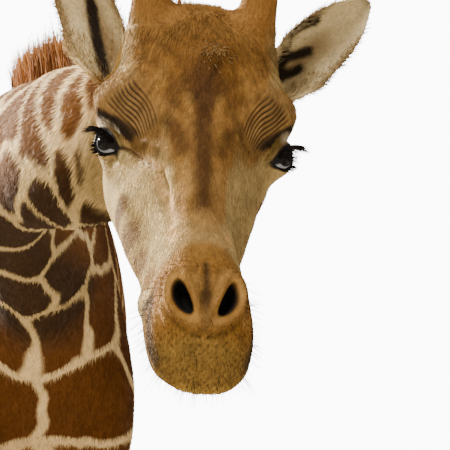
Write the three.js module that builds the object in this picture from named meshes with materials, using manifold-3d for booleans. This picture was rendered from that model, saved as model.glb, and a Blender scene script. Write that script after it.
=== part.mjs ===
// A life-size standing giraffe, neck stretched forward and head hanging towards the viewer.
// Millimetres, +Z up. The animal looks along -Y and its left side is +X.
// The flesh is lofted from named stations, joined whole, and parted with thin cuts.
import * as THREE from "three";
import { mergeVertices } from "three/addons/utils/BufferGeometryUtils.js";
import Module from "manifold-3d";

const wasm = await Module();
wasm.setup();

// ---------------------------------------------------------------- driving sizes
const WITHERS_HEIGHT = 2720;
const CROUP_HEIGHT = 2400;
const BELLY_HEIGHT = 1650;
const CHEST_FRONT = -800;
const RUMP_BACK = 880;
const ELBOW_HEIGHT = 1640;
const KNEE_HEIGHT = 900;
const FETLOCK_HEIGHT = 235;
const HOOF_HEIGHT = 92;
const HOOF_LINE = 74; // where hair meets horn
const FRONT_FOOT_Y = -450;
const HIND_FOOT_Y = 610;
const FOOT_SPREAD = 168;
const MANE_HEIGHT = 85;
const CUT = 0.6; // the gap left by a cut between two parts
const CLEAR = 0.4; // how far a part that sits on another is kept off it

// The head: the middle between the eyes, and how it is turned.
const EYE_LEVEL = new THREE.Vector3(197, -2238, 2148);
const HEAD_PITCH = THREE.MathUtils.degToRad(51.5); // nose down
const HEAD_ROLL = THREE.MathUtils.degToRad(2.6); // right eye higher
const HEAD_YAW = THREE.MathUtils.degToRad(-3.6); // towards the animal's right
const EYE_RADIUS = 25;
const EYE_SPREAD = 114; // from the midline to the centre of an eye
const LID_RADIUS = 29;
const EAR_LENGTH = 240;
const EAR_HALF_WIDTH = 52;
const EAR_THICKNESS = 7;
const OSSICONE_LENGTH = 162;

const UP = new THREE.Vector3(0, 0, 1);
const FORWARD = new THREE.Vector3(0, -1, 0);
const point = (x, y, z) => new THREE.Vector3(x, y, z);

// ---------------------------------------------------------------- solids
// A closed geometry as a solid that can be joined and cut.
function solidOf(geometry) {
  const bare = geometry.index ? geometry.toNonIndexed() : geometry.clone();
  bare.deleteAttribute("normal");
  bare.deleteAttribute("uv");
  const merged = mergeVertices(bare, 1e-3);
  return new wasm.Manifold(
    new wasm.Mesh({
      numProp: 3,
      vertProperties: merged.attributes.position.array,
      triVerts: new Uint32Array(merged.index.array),
    }),
  );
}

function geometryOf(solid) {
  const mesh = solid.getMesh();
  const geometry = new THREE.BufferGeometry();
  geometry.setAttribute("position", new THREE.BufferAttribute(mesh.vertProperties, 3));
  geometry.setIndex(new THREE.BufferAttribute(mesh.triVerts, 1));
  geometry.computeVertexNormals();
  return geometry;
}

const join = (...solids) => solids.reduce((whole, next) => whole.add(next));

// The closed skin over a row of rings with the same count of points, with a point at each end.
function loft(rings, first, last) {
  const sides = rings[0].length;
  const places = [first, ...rings.flat(), last].flatMap((p) => [p.x, p.y, p.z]);
  const at = (ring, side) => 1 + ring * sides + (side % sides);
  const end = rings.length * sides + 1;
  const faces = [];
  for (let side = 0; side < sides; side++) {
    faces.push(0, at(0, side), at(0, side + 1));
    for (let ring = 0; ring + 1 < rings.length; ring++) {
      faces.push(at(ring, side), at(ring + 1, side), at(ring + 1, side + 1));
      faces.push(at(ring, side), at(ring + 1, side + 1), at(ring, side + 1));
    }
    faces.push(end, at(rings.length - 1, side + 1), at(rings.length - 1, side));
  }
  const geometry = new THREE.BufferGeometry();
  geometry.setAttribute("position", new THREE.Float32BufferAttribute(places, 3));
  geometry.setIndex(faces);
  return geometry;
}

// A curve through one number of every station, and its value at any place along the row.
function track(stations, read) {
  const curve = new THREE.CatmullRomCurve3(
    stations.map((s) => point(...read(s))),
    false,
    "catmullrom",
  );
  return (t) => curve.getPoint(t);
}

// A point of a section of half sizes 1: power 2 is an ellipse, more is squarer.
function onSection(angle, power) {
  const c = Math.cos(angle);
  const s = Math.sin(angle);
  return [Math.sign(c) * Math.abs(c) ** (2 / power), Math.sign(s) * Math.abs(s) ** (2 / power)];
}

// A limb, neck or trunk: sections square to a path. A station holds its place, its half width,
// and how far it reaches to the hinted side (over) and away from it (under).
function limb(stations, { sides, steps, hint, grow = 0, power = 2, ends = 0 }) {
  const path = track(stations, (s) => s.at);
  const size = track(stations, (s) => [s.wide, s.over, s.under]);
  const heading = (t) =>
    path(Math.min(t + 1e-3, 1)).sub(path(Math.max(t - 1e-3, 0))).normalize();
  const rings = [];
  for (let step = 0; step <= steps; step++) {
    const t = step / steps;
    const side = point().crossVectors(heading(t), hint).normalize();
    const over = point().crossVectors(side, heading(t));
    const { x: wide, y: above, z: below } = size(t);
    rings.push(
      Array.from({ length: sides }, (_, i) => {
        const [c, s] = onSection((i / sides) * 2 * Math.PI, power);
        const reach = s > 0 ? above : below;
        return path(t)
          .addScaledVector(side, c * (wide + grow))
          .addScaledVector(over, s * (reach + grow));
      }),
    );
  }
  const first = path(0).addScaledVector(heading(0), -ends - grow);
  const last = path(1).addScaledVector(heading(1), ends + grow);
  return solidOf(loft(rings, first, last));
}

// Half of space beyond a plane, as a block of side 8 m whose face lies in that plane.
const BLOCK = 8000;
function beyond(place, direction, offset = 0) {
  const block = new THREE.BoxGeometry(BLOCK, BLOCK, BLOCK);
  const away = direction.clone().normalize();
  const turn = new THREE.Quaternion().setFromUnitVectors(UP, away);
  block.applyQuaternion(turn);
  const centre = place.clone().addScaledVector(away, BLOCK / 2 + offset);
  block.translate(centre.x, centre.y, centre.z);
  return solidOf(block);
}

function ball(centre, radius, grow = 0, rows = 14) {
  const geometry = new THREE.SphereGeometry(radius + grow, rows + 6, rows);
  geometry.translate(centre.x, centre.y, centre.z);
  return solidOf(geometry);
}

// ---------------------------------------------------------------- the head's own frame
// x to the animal's left, -y towards the nose, z out of the forehead, from between the eyes.
const headTurn = new THREE.Quaternion().setFromEuler(
  new THREE.Euler(HEAD_PITCH, HEAD_ROLL, HEAD_YAW, "ZYX"),
);
const headMatrix = new THREE.Matrix4().compose(EYE_LEVEL, headTurn, point(1, 1, 1));
const inHead = (left, nose, brow) => point(left, -nose, brow).applyMatrix4(headMatrix);
const headway = (left, nose, brow) => point(left, -nose, brow).applyQuaternion(headTurn);

// Each station along the face, from the nape to the lip: its distance in front of the eyes, the
// level of its widest place, half width there, and its top and bottom levels.
const FACE = [
  { nose: -285, mid: 0, wide: 40, top: 36, bottom: -56, crown: 2, jaw: 2 },
  { nose: -262, mid: 2, wide: 72, top: 80, bottom: -98, crown: 2, jaw: 2 },
  { nose: -225, mid: 8, wide: 93, top: 116, bottom: -134, crown: 2.3, jaw: 2.1 },
  { nose: -180, mid: 12, wide: 104, top: 138, bottom: -160, crown: 2.8, jaw: 2.3 },
  { nose: -130, mid: 14, wide: 110, top: 144, bottom: -174, crown: 3.3, jaw: 2.6 },
  { nose: -85, mid: 14, wide: 113, top: 136, bottom: -177, crown: 3.2, jaw: 2.8 },
  { nose: -40, mid: 12, wide: 118, top: 125, bottom: -172, crown: 2.8, jaw: 2.9 },
  { nose: 0, mid: 2, wide: 118, top: 111, bottom: -164, crown: 2.5, jaw: 2.8 },
  { nose: 45, mid: -18, wide: 107, top: 96, bottom: -153, crown: 2.2, jaw: 2.6 },
  { nose: 90, mid: -40, wide: 93, top: 82, bottom: -141, crown: 2, jaw: 2.4 },
  { nose: 135, mid: -52, wide: 80, top: 70, bottom: -129, crown: 1.95, jaw: 2.3 },
  { nose: 180, mid: -56, wide: 69, top: 61, bottom: -117, crown: 1.95, jaw: 2.2 },
  { nose: 225, mid: -53, wide: 64, top: 54, bottom: -107, crown: 2, jaw: 2.1 },
  { nose: 270, mid: -48, wide: 60, top: 49, bottom: -104, crown: 2.1, jaw: 2.1 },
  { nose: 312, mid: -44, wide: 62, top: 44, bottom: -100, crown: 2.2, jaw: 2.1 },
  { nose: 346, mid: -46, wide: 59, top: 30, bottom: -90, crown: 2.3, jaw: 2.1 },
  { nose: 372, mid: -52, wide: 53, top: 6, bottom: -78, crown: 2.15, jaw: 2.1 },
  { nose: 388, mid: -55, wide: 38, top: -18, bottom: -72, crown: 2.1, jaw: 2 },
  { nose: 396, mid: -56, wide: 22, top: -38, bottom: -66, crown: 2, jaw: 2 },
];

// Bones and muscles that swell or hollow the face: where, how far they reach, and their push.
const SWELLS = [
  { name: "brow ridge", at: [118, -28, 50], reach: 32, push: [27, 0, 9] },
  { name: "rear of the orbit", at: [116, -70, 24], reach: 30, push: [22, 0, 0] },
  { name: "cheek bone", at: [110, 22, -32], reach: 34, push: [3, 0, 0] },
  { name: "hollow before the eye", at: [86, 62, 34], reach: 32, push: [-11, 0, -4] },
  { name: "jaw muscle", at: [108, -20, -104], reach: 64, push: [9, 0, -2] },
  { name: "angle of the jaw", at: [52, -128, -166], reach: 40, push: [6, -4, -8] },
  { name: "face crest", at: [78, 112, -20], reach: 40, push: [5, 0, 0] },
  { name: "hollow beside the nose", at: [56, 175, 20], reach: 32, push: [-6, 0, -2] },
  { name: "nostril boss", at: [31, 334, 36], reach: 21, push: [6, 4, 9] },
  { name: "corner of the mouth", at: [64, 270, -58], reach: 28, push: [5, 0, 0] },
  { name: "fold of the upper lip", at: [58, 352, -20], reach: 26, push: [4, 2, 3] },
  { name: "ossicone root", at: [72, -136, 128], reach: 34, push: [6, -4, 12] },
  { name: "fur under the ossicone", at: [104, -132, 84], reach: 27, push: [11, 0, 2] },
  { name: "middle horn", at: [0, -46, 126], reach: 24, push: [0, 2, 24] },
  { name: "crown between the horns", at: [0, -150, 140], reach: 40, push: [0, 0, 12] },
  { name: "dish of the nose", at: [0, 235, 50], reach: 60, push: [0, 0, -4] },
  { name: "lip set a little to the left", at: [0, 395, -60], reach: 42, push: [6, 0, 0] },
  { name: "face set a little to the right", at: [0, 40, 10], reach: 110, push: [-5, 0, 0] },
  { name: "jaw swung to the right", at: [0, 90, -120], reach: 96, push: [-17, 0, 0] },
];

// Both halves of every swell, each with its own distance from the place.
function swell(place) {
  const moved = place.clone();
  for (const { at, reach, push } of SWELLS) {
    for (const half of at[0] ? [1, -1] : [1]) {
      const from = point(half * at[0], -at[1], at[2]);
      const share = Math.exp(-place.distanceToSquared(from) / (2 * reach * reach));
      moved.add(point(half * push[0], -push[1], push[2]).multiplyScalar(share));
    }
  }
  return moved;
}

const FACE_SIDES = 26;
const FACE_STEPS = 27;
function headSolid(grow = 0) {
  const outline = track(FACE, (s) => [s.nose, s.top, s.bottom]);
  const breadth = track(FACE, (s) => [s.wide, s.mid, 0]);
  const corners = track(FACE, (s) => [s.crown, s.jaw, 0]);
  const rings = [];
  for (let step = 0; step <= FACE_STEPS; step++) {
    const t = step / FACE_STEPS;
    const { x: nose, y: top, z: bottom } = outline(t);
    const { x: wide, y: mid } = breadth(t);
    const { x: crown, y: jaw } = corners(t);
    const ring = Array.from({ length: FACE_SIDES }, (_, i) => {
      const angle = (i / FACE_SIDES) * 2 * Math.PI;
      const [c, s] = onSection(angle, angle < Math.PI ? crown : jaw);
      const reach = s > 0 ? top - mid : mid - bottom;
      return swell(point(-c * (wide + grow), -nose, mid + s * (reach + grow)));
    });
    rings.push(ring);
  }
  const nape = point(0, -FACE[0].nose + 10 + grow, FACE[0].mid);
  const lip = point(0, -FACE.at(-1).nose - 3 - grow, FACE.at(-1).mid);
  const geometry = loft(rings, nape, lip);
  geometry.applyMatrix4(headMatrix);
  return solidOf(geometry);
}

// An eye looks out to the side, a little forward and up.
const eyeCentre = (side) => inHead(side * EYE_SPREAD, 0, 2);
const eyeGaze = (side) => headway(side * 0.68, 0.6, 0.42).normalize();
const OPENING = { length: 21, height: 14, depth: 34 };

// The almond between the lids, its inner corner towards the nose and the midline.
function eyeOpening(side) {
  const gaze = eyeGaze(side);
  const corner = headway(side * -0.66, 0.75, 0);
  const along = corner.addScaledVector(gaze, -corner.dot(gaze)).normalize();
  const across = point().crossVectors(gaze, along);
  const almond = new THREE.SphereGeometry(1, 12, 6);
  almond.scale(OPENING.length, OPENING.height, OPENING.depth);
  const place = eyeCentre(side).addScaledVector(gaze, EYE_RADIUS);
  almond.applyMatrix4(new THREE.Matrix4().makeBasis(along, across, gaze).setPosition(place));
  return solidOf(almond);
}

// A nostril is a slanting pit, narrow at its outer end.
function nostril(side) {
  const pit = new THREE.SphereGeometry(1, 10, 6);
  pit.scale(8, 21, 26);
  const lean = new THREE.Euler(0.5, side * 0.35, side * -0.35, "ZYX");
  pit.applyQuaternion(new THREE.Quaternion().setFromEuler(lean));
  pit.translate(side * 28, -344, 36);
  pit.applyMatrix4(headMatrix);
  return solidOf(pit);
}

// ---------------------------------------------------------------- neck, trunk and legs
const NAPE = inHead(0, -168, -42);
const NECK = [
  { at: [0, -180, 2250], wide: 176, over: 400, under: 400 },
  { at: [0, -470, 2285], wide: 198, over: 415, under: 400 },
  { at: [-6, -760, 2325], wide: 178, over: 368, under: 352 },
  { at: [-40, -1040, 2358], wide: 154, over: 268, under: 288 },
  { at: [-80, -1310, 2364], wide: 130, over: 206, under: 232 },
  { at: [-72, -1560, 2346], wide: 112, over: 164, under: 200 },
  { at: [6, -1780, 2314], wide: 100, over: 142, under: 184 },
  { at: [104, -1950, 2276], wide: 92, over: 128, under: 164 },
  { at: NAPE.toArray(), wide: 82, over: 104, under: 124 },
];

const TRUNK = [
  { at: [0, CHEST_FRONT + 22, 2010], wide: 96, over: 150, under: 120 },
  { at: [0, CHEST_FRONT + 70, 2050], wide: 190, over: 270, under: 265 },
  { at: [0, -600, 2110], wide: 228, over: 400, under: 420 },
  { at: [0, -430, 2150], wide: 246, over: 520, under: 495 },
  { at: [0, -220, 2180], wide: 284, over: WITHERS_HEIGHT - 2180, under: 2180 - BELLY_HEIGHT },
  { at: [0, 0, 2165], wide: 320, over: 495, under: 520 },
  { at: [0, 220, 2140], wide: 342, over: 430, under: 470 },
  { at: [0, 420, 2120], wide: 338, over: 355, under: 400 },
  { at: [0, 600, 2105], wide: 296, over: CROUP_HEIGHT - 2105, under: 320 },
  { at: [0, 750, 2090], wide: 226, over: 216, under: 240 },
  { at: [0, RUMP_BACK - 40, 2080], wide: 128, over: 120, under: 150 },
];

// Stations of a fore and a hind leg on the left side, from the top down.
const FORE_LEG = [
  { at: [128, -330, 2480], wide: 44, over: 110, under: 120 },
  { at: [152, -400, 2260], wide: 80, over: 190, under: 190 },
  { at: [200, -470, 2010], wide: 102, over: 225, under: 215 },
  { at: [206, -440, 1800], wide: 104, over: 180, under: 195 },
  { at: [196, -405, ELBOW_HEIGHT], wide: 90, over: 132, under: 150 },
  { at: [187, -400, 1450], wide: 74, over: 100, under: 108 },
  { at: [179, -405, 1230], wide: 60, over: 76, under: 78 },
  { at: [175, -412, 1030], wide: 52, over: 62, under: 60 },
  { at: [172, -418, KNEE_HEIGHT], wide: 63, over: 72, under: 66 },
  { at: [170, -412, 790], wide: 48, over: 50, under: 56 },
  { at: [169, -408, 560], wide: 38, over: 41, under: 48 },
  { at: [168, -408, 340], wide: 43, over: 44, under: 53 },
  { at: [FOOT_SPREAD, -412, FETLOCK_HEIGHT], wide: 56, over: 54, under: 62 },
  { at: [FOOT_SPREAD, -430, 150], wide: 58, over: 48, under: 50 },
  { at: [FOOT_SPREAD, FRONT_FOOT_Y, 88], wide: 70, over: 62, under: 64 },
  { at: [FOOT_SPREAD, FRONT_FOOT_Y - 12, 40], wide: 68, over: 66, under: 64 },
];

const HIND_LEG = [
  { at: [120, 560, 2290], wide: 90, over: 170, under: 190 },
  { at: [172, 560, 2080], wide: 134, over: 250, under: 290 },
  { at: [194, 525, 1860], wide: 138, over: 262, under: 285 },
  { at: [200, 480, 1660], wide: 116, over: 196, under: 240 },
  { at: [190, 510, 1450], wide: 86, over: 124, under: 152 },
  { at: [180, 600, 1220], wide: 62, over: 78, under: 96 },
  { at: [173, 672, 1050], wide: 50, over: 58, under: 74 },
  { at: [169, 706, 940], wide: 57, over: 66, under: 84 },
  { at: [167, 704, 810], wide: 48, over: 54, under: 58 },
  { at: [165, 684, 560], wide: 38, over: 42, under: 47 },
  { at: [164, 664, 340], wide: 43, over: 44, under: 52 },
  { at: [FOOT_SPREAD - 4, 652, FETLOCK_HEIGHT], wide: 55, over: 53, under: 61 },
  { at: [FOOT_SPREAD - 4, 632, 150], wide: 57, over: 47, under: 50 },
  { at: [FOOT_SPREAD - 4, HIND_FOOT_Y, 88], wide: 67, over: 60, under: 62 },
  { at: [FOOT_SPREAD - 4, HIND_FOOT_Y - 12, 40], wide: 65, over: 63, under: 62 },
];

const TAIL = [
  { at: [0, 760, 2250], wide: 60, over: 62, under: 70 },
  { at: [0, 850, 2225], wide: 44, over: 46, under: 48 },
  { at: [0, 925, 2110], wide: 33, over: 34, under: 34 },
  { at: [0, 952, 1920], wide: 25, over: 25, under: 25 },
  { at: [0, 955, 1700], wide: 19, over: 19, under: 19 },
  { at: [0, 948, 1480], wide: 15, over: 15, under: 15 },
  { at: [0, 944, 1400], wide: 13, over: 13, under: 13 },
];
const TAIL_TUFT = [
  { at: [0, 948, 1470], wide: 20, over: 20, under: 20 },
  { at: [0, 944, 1380], wide: 34, over: 34, under: 34 },
  { at: [0, 940, 1220], wide: 46, over: 46, under: 46 },
  { at: [0, 940, 1040], wide: 46, over: 46, under: 46 },
  { at: [0, 942, 880], wide: 34, over: 34, under: 34 },
  { at: [0, 944, 770], wide: 14, over: 14, under: 14 },
];

const mirrored = (stations, side) =>
  stations.map((s) => ({ ...s, at: [side * s.at[0], s.at[1], s.at[2]] }));
const neckSolid = (grow = 0) =>
  limb(NECK, { sides: 16, steps: 14, hint: UP, grow, power: 2.1, ends: 20 });
const trunkSolid = (grow = 0) =>
  limb(TRUNK, { sides: 18, steps: 12, hint: UP, grow, power: 2.15, ends: 26 });
const LEG = { sides: 10, steps: 19, hint: FORWARD, power: 2.1, ends: 4 };
const foreLeg = (side) => limb(mirrored(FORE_LEG, side), LEG);
const hindLeg = (side) => limb(mirrored(HIND_LEG, side), LEG);

// ---------------------------------------------------------------- ears, ossicones, mane
// An ear is a cupped leaf, rolled into a tube at its root. Its tip points along the aim and its
// hollow side faces the mouth of the cup.
const EAR_ROOT = { left: 116, nose: -180, brow: 8 };
const EARS = [
  { name: "ear_left", side: 1, aim: [0.68, -0.42, 0.58], mouth: [0.21, 0.76, 0.61] },
  { name: "ear_right", side: -1, aim: [-0.45, -0.62, 0.6], mouth: [-0.36, 0.76, 0.55] },
];
const EAR_STEPS = 10;
const EAR_ARC = 6;
const EAR_TUBE = 27; // radius where the leaf is rolled up
const EAR_WIDEST = 0.45; // share of the length from the root

function earSolid({ side, aim, mouth }) {
  const along = headway(...aim).normalize();
  const across = point().crossVectors(along, headway(...mouth)).normalize();
  const open = point().crossVectors(across, along);
  const root = inHead(side * EAR_ROOT.left, EAR_ROOT.nose, EAR_ROOT.brow);
  const rings = [];
  for (let step = 0; step <= EAR_STEPS; step++) {
    const t = step / EAR_STEPS;
    const opened = Math.sin((Math.PI / 2) * Math.min(1, t / EAR_WIDEST));
    const closed = Math.max(0, t - EAR_WIDEST) / (1.02 - EAR_WIDEST);
    const wide = THREE.MathUtils.lerp(EAR_TUBE, EAR_HALF_WIDTH, opened) * (1 - closed ** 2.3) ** 0.8;
    const half = THREE.MathUtils.degToRad(THREE.MathUtils.lerp(150, 62, Math.min(1, t * 1.8)));
    const radius = wide / Math.sin(Math.min(half, Math.PI / 2));
    const thick = EAR_THICKNESS * (1 - 0.35 * t);
    const spine = root
      .clone()
      .addScaledVector(along, t * EAR_LENGTH - 12)
      .addScaledVector(open, 18 * t * t - radius * 0.25);
    const arc = (r, turn) =>
      spine
        .clone()
        .addScaledVector(across, r * Math.sin(turn))
        .addScaledVector(open, radius - r * Math.cos(turn) - 12);
    const turns = Array.from({ length: EAR_ARC + 1 }, (_, i) => half * ((2 * i) / EAR_ARC - 1));
    const back = turns.map((turn) => arc(radius, turn));
    const front = turns.reverse().map((turn) => arc(radius - thick, 0.96 * turn));
    rings.push([...back, ...front]);
  }
  const halfway = (a, b) => point().addVectors(a, b).multiplyScalar(0.5);
  const [rootRing, tipRing] = [rings[0], rings.at(-1)];
  const rootMiddle = halfway(rootRing[EAR_ARC / 2], rootRing[EAR_ARC + 1 + EAR_ARC / 2]);
  const tip = tipRing.reduce((sum, p) => sum.add(p), point()).divideScalar(tipRing.length);
  return solidOf(loft(rings, rootMiddle, tip));
}

// An ossicone leans back from its root and ends in a knob.
const OSSICONE_ROOT = { left: 72, nose: -130, brow: 100 };
const OSSICONE_LEAN = [0.1, -0.4, 0.91];
function ossiconeSolid(side) {
  const root = inHead(side * OSSICONE_ROOT.left, OSSICONE_ROOT.nose, OSSICONE_ROOT.brow);
  const aim = headway(side * OSSICONE_LEAN[0], OSSICONE_LEAN[1], OSSICONE_LEAN[2]).normalize();
  const profile = [
    [0, 47],
    [0.3, 42],
    [0.52, 32],
    [0.75, 25],
    [0.93, 27],
    [1.02, 20],
  ];
  const stations = profile.map(([share, radius]) => ({
    at: root.clone().addScaledVector(aim, share * OSSICONE_LENGTH).toArray(),
    wide: radius,
    over: radius,
    under: radius,
  }));
  return limb(stations, { sides: 10, steps: 8, hint: headway(0, 1, 0), ends: 8 });
}

// The mane stands along the nape from behind the crown to the withers.
const MANE_THICKNESS = 15;
function maneSolid() {
  const crown = inHead(0, -236, 60);
  const ridge = track(NECK, (s) => s.at);
  const rise = track(NECK, (s) => [s.over, 0, 0]);
  const stations = [];
  for (const t of [0.16, 0.24, 0.34, 0.45, 0.56, 0.67, 0.78, 0.88, 0.95]) {
    const nape = ridge(t);
    nape.z += rise(t).x;
    const full = Math.min(1, (t - 0.1) * 5);
    stations.push({ at: nape.toArray(), wide: MANE_THICKNESS, over: MANE_HEIGHT * full, under: 60 });
  }
  stations.push({ at: crown.toArray(), wide: MANE_THICKNESS, over: 60, under: 50 });
  return limb(stations, { sides: 8, steps: 12, hint: UP, power: 2.6, ends: 6 });
}

// ---------------------------------------------------------------- hooves
// A claw of the cloven foot: a wall that leans in from the ground, over a flat sole. Its rings
// go from the sole up, each at a share of the hoof's height and of its spread.
const HOOF = { length: 84, width: 36, toe: 18, sides: 12, narrowing: 0.35, inner: 0.82 };
const HOOF_RINGS = [
  { rise: 0, spread: 0.95 },
  { rise: 0.12, spread: 1 },
  { rise: 1.25, spread: 0.8 },
];
const CLAW_SPREAD = 37; // from the foot's midline to a claw's
const CLAW_FORWARD = 14; // how far a claw stands forward of the pastern

function hoofSolid(x, y, side) {
  const centre = (rise) => point(x, y - HOOF.toe * (1 - rise), rise * HOOF_HEIGHT);
  const rings = HOOF_RINGS.map(({ rise, spread }) =>
    Array.from({ length: HOOF.sides }, (_, i) => {
      const [c, s] = onSection((i / HOOF.sides) * 2 * Math.PI, 2.4);
      const toeward = s < 0 ? 1 - HOOF.narrowing * s * s : 1;
      const inward = c * side < 0 ? HOOF.inner : 1;
      const across = c * HOOF.width * spread * toeward * inward;
      return centre(rise).add(point(across, s * HOOF.length * spread, 0));
    }),
  );
  const top = HOOF_RINGS.at(-1).rise;
  return solidOf(loft(rings.reverse(), centre(top), centre(0)));
}

// ---------------------------------------------------------------- the whole body, then its cuts
const SIDES = [
  { word: "left", side: 1 },
  { word: "right", side: -1 },
];
const coreOf = (grow) => join(neckSolid(grow), trunkSolid(grow), headSolid(grow));
const flesh = join(
  coreOf(0),
  ...SIDES.flatMap(({ side }) => [
    foreLeg(side),
    hindLeg(side),
    ball(eyeCentre(side), LID_RADIUS, 0, 8),
  ]),
);
const grown = coreOf(CLEAR);

const parts = new Map();
const box = (low, high) => {
  const size = high.clone().sub(low);
  const block = new THREE.BoxGeometry(size.x, size.y, size.z);
  const centre = low.clone().add(high).multiplyScalar(0.5);
  block.translate(centre.x, centre.y, centre.z);
  return solidOf(block);
};

// The head parts from the neck at the nape, the neck from the trunk in front of the shoulders.
const headCut = { place: inHead(0, -240, -30), way: point(0.35, -0.8, -0.45) };
const neckCut = { place: point(0, -800, 2420), way: point(0, -0.86, 0.5) };
const headRoom = box(point(-600, -3000, 1500), point(900, -1750, 3000));
const headHalf = headRoom.intersect(beyond(headCut.place, headCut.way, CUT / 2));
const headTaken = headRoom.intersect(beyond(headCut.place, headCut.way, -CUT / 2));
const neckHalf = beyond(neckCut.place, neckCut.way, CUT / 2);
const trunkHalf = beyond(neckCut.place, neckCut.way.clone().negate(), CUT / 2);

// The mouth: a slit from the lip back to its corner.
const MOUTH_CORNER = 238;
const mouthCorner = inHead(0, MOUTH_CORNER, -64);
const jawBelow = beyond(mouthCorner, headway(0, -0.03, -1), CUT / 2);
const jawAbove = beyond(mouthCorner, headway(0, 0.03, 1), CUT / 2);
const jawFront = beyond(mouthCorner, headway(0, 1, 0.12), CUT / 2);
const jawBack = beyond(mouthCorner, headway(0, -1, -0.12), CUT / 2);

let skull = flesh.intersect(headHalf);
for (const { side } of SIDES) {
  skull = skull.subtract(ball(eyeCentre(side), EYE_RADIUS, CLEAR, 8)).subtract(eyeOpening(side));
  skull = skull.subtract(nostril(side));
}
parts.set("lower_jaw", skull.intersect(jawBelow).intersect(jawFront));
parts.set("head", join(skull.intersect(jawBack), skull.intersect(jawAbove)));

parts.set("neck", flesh.subtract(headTaken).intersect(neckHalf));

// Each leg parts from the trunk below the chest or belly, on a slant that follows the fold.
const legCuts = {
  front: { place: point(0, -400, 1655), way: point(0, 0, -1), near: -1000, far: 100 },
  hind: { place: point(0, 520, 1700), way: point(0, 0.18, -1), near: 100, far: 900 },
};
let trunk = flesh.subtract(headTaken).intersect(trunkHalf);
const hoofTop = (y) => ({ place: point(0, y, HOOF_LINE), way: point(0, 0.22, -1) });
for (const { word, side } of SIDES) {
  for (const [end, cut] of Object.entries(legCuts)) {
    const halfBox = box(
      point(side > 0 ? 0.3 : -700, cut.near, -50),
      point(side > 0 ? 700 : -0.3, cut.far, 2000),
    );
    const foot = hoofTop(end === "front" ? FRONT_FOOT_Y : HIND_FOOT_Y);
    const below = beyond(cut.place, cut.way, CUT / 2);
    const aboveHoof = beyond(foot.place, foot.way.clone().negate(), CUT / 2);
    const leg = flesh.intersect(halfBox).intersect(below).intersect(aboveHoof);
    parts.set(`leg_${end}_${word}`, leg);
  }
}
for (const cut of Object.values(legCuts)) {
  const lowBox = box(point(-700, cut.near, -50), point(700, cut.far, 2000));
  trunk = trunk.subtract(lowBox.intersect(beyond(cut.place, cut.way, -CUT / 2)));
}
parts.set("trunk", trunk);

// The tail stands on the rump, and its tuft sheathes its end.
const tailOf = (stations, grow) =>
  limb(stations, { sides: 8, steps: 10, hint: FORWARD, grow, ends: 6 });
const tuft = tailOf(TAIL_TUFT, 0);
parts.set("tail", tailOf(TAIL, 0).subtract(grown).subtract(tailOf(TAIL_TUFT, CLEAR)));
parts.set("tail_tuft", tuft);

for (const { word, side } of SIDES) {
  const ossicone = ossiconeSolid(side).subtract(grown);
  parts.set(`ossicone_${word}`, ossicone);
  parts.set(`eye_${word}`, ball(eyeCentre(side), EYE_RADIUS, 0, 8));
}
for (const ear of EARS) parts.set(ear.name, earSolid(ear).subtract(grown));
parts.set("mane", maneSolid().subtract(grown));

for (const { word, side } of SIDES) {
  for (const [end, y] of [["front", FRONT_FOOT_Y], ["hind", HIND_FOOT_Y]]) {
    const foot = hoofTop(y);
    const under = beyond(foot.place, foot.way, CUT / 2);
    for (const [claw, step] of [["outer", 1], ["inner", -1]]) {
      const x = side * (FOOT_SPREAD + step * CLAW_SPREAD);
      const horn = hoofSolid(x, y - CLAW_FORWARD, side * step);
      parts.set(`hoof_${end}_${word}_${claw}`, horn.intersect(under));
    }
  }
}

// ---------------------------------------------------------------- finishes and the group
const FINISHES = {
  hide: { color: 0x9a7440, roughness: 0.85 },
  dark_hair: { color: 0x4a2f18, roughness: 0.8 },
  eye: { color: 0x140c08, roughness: 0.1 },
  hoof: { color: 0x3a3026, roughness: 0.6 },
};
const FINISH_OF = [
  [/^eye/, "eye"],
  [/^hoof/, "hoof"],
  [/mane|tuft/, "dark_hair"],
  [/./, "hide"],
];
const finishOf = (name) => FINISH_OF.find(([pattern]) => pattern.test(name))[1];

const giraffe = new THREE.Group();
for (const [name, solid] of parts) {
  const pieces = solid.decompose().sort((a, b) => b.volume() - a.volume());
  const material = new THREE.MeshStandardMaterial({ ...FINISHES[finishOf(name)], metalness: 0 });
  const mesh = new THREE.Mesh(geometryOf(pieces[0]), material);
  mesh.name = name;
  giraffe.add(mesh);
}
// The origin is on the floor, at the middle of the animal's outer box.
const outer = new THREE.Box3().setFromObject(giraffe);
const middle = outer.getCenter(point());
giraffe.position.set(-middle.x, -middle.y, -outer.min.z);

export default giraffe;
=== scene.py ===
"""The looks of a life-size giraffe: skin, coat, mane, tail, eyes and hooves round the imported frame."""

import math

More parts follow.
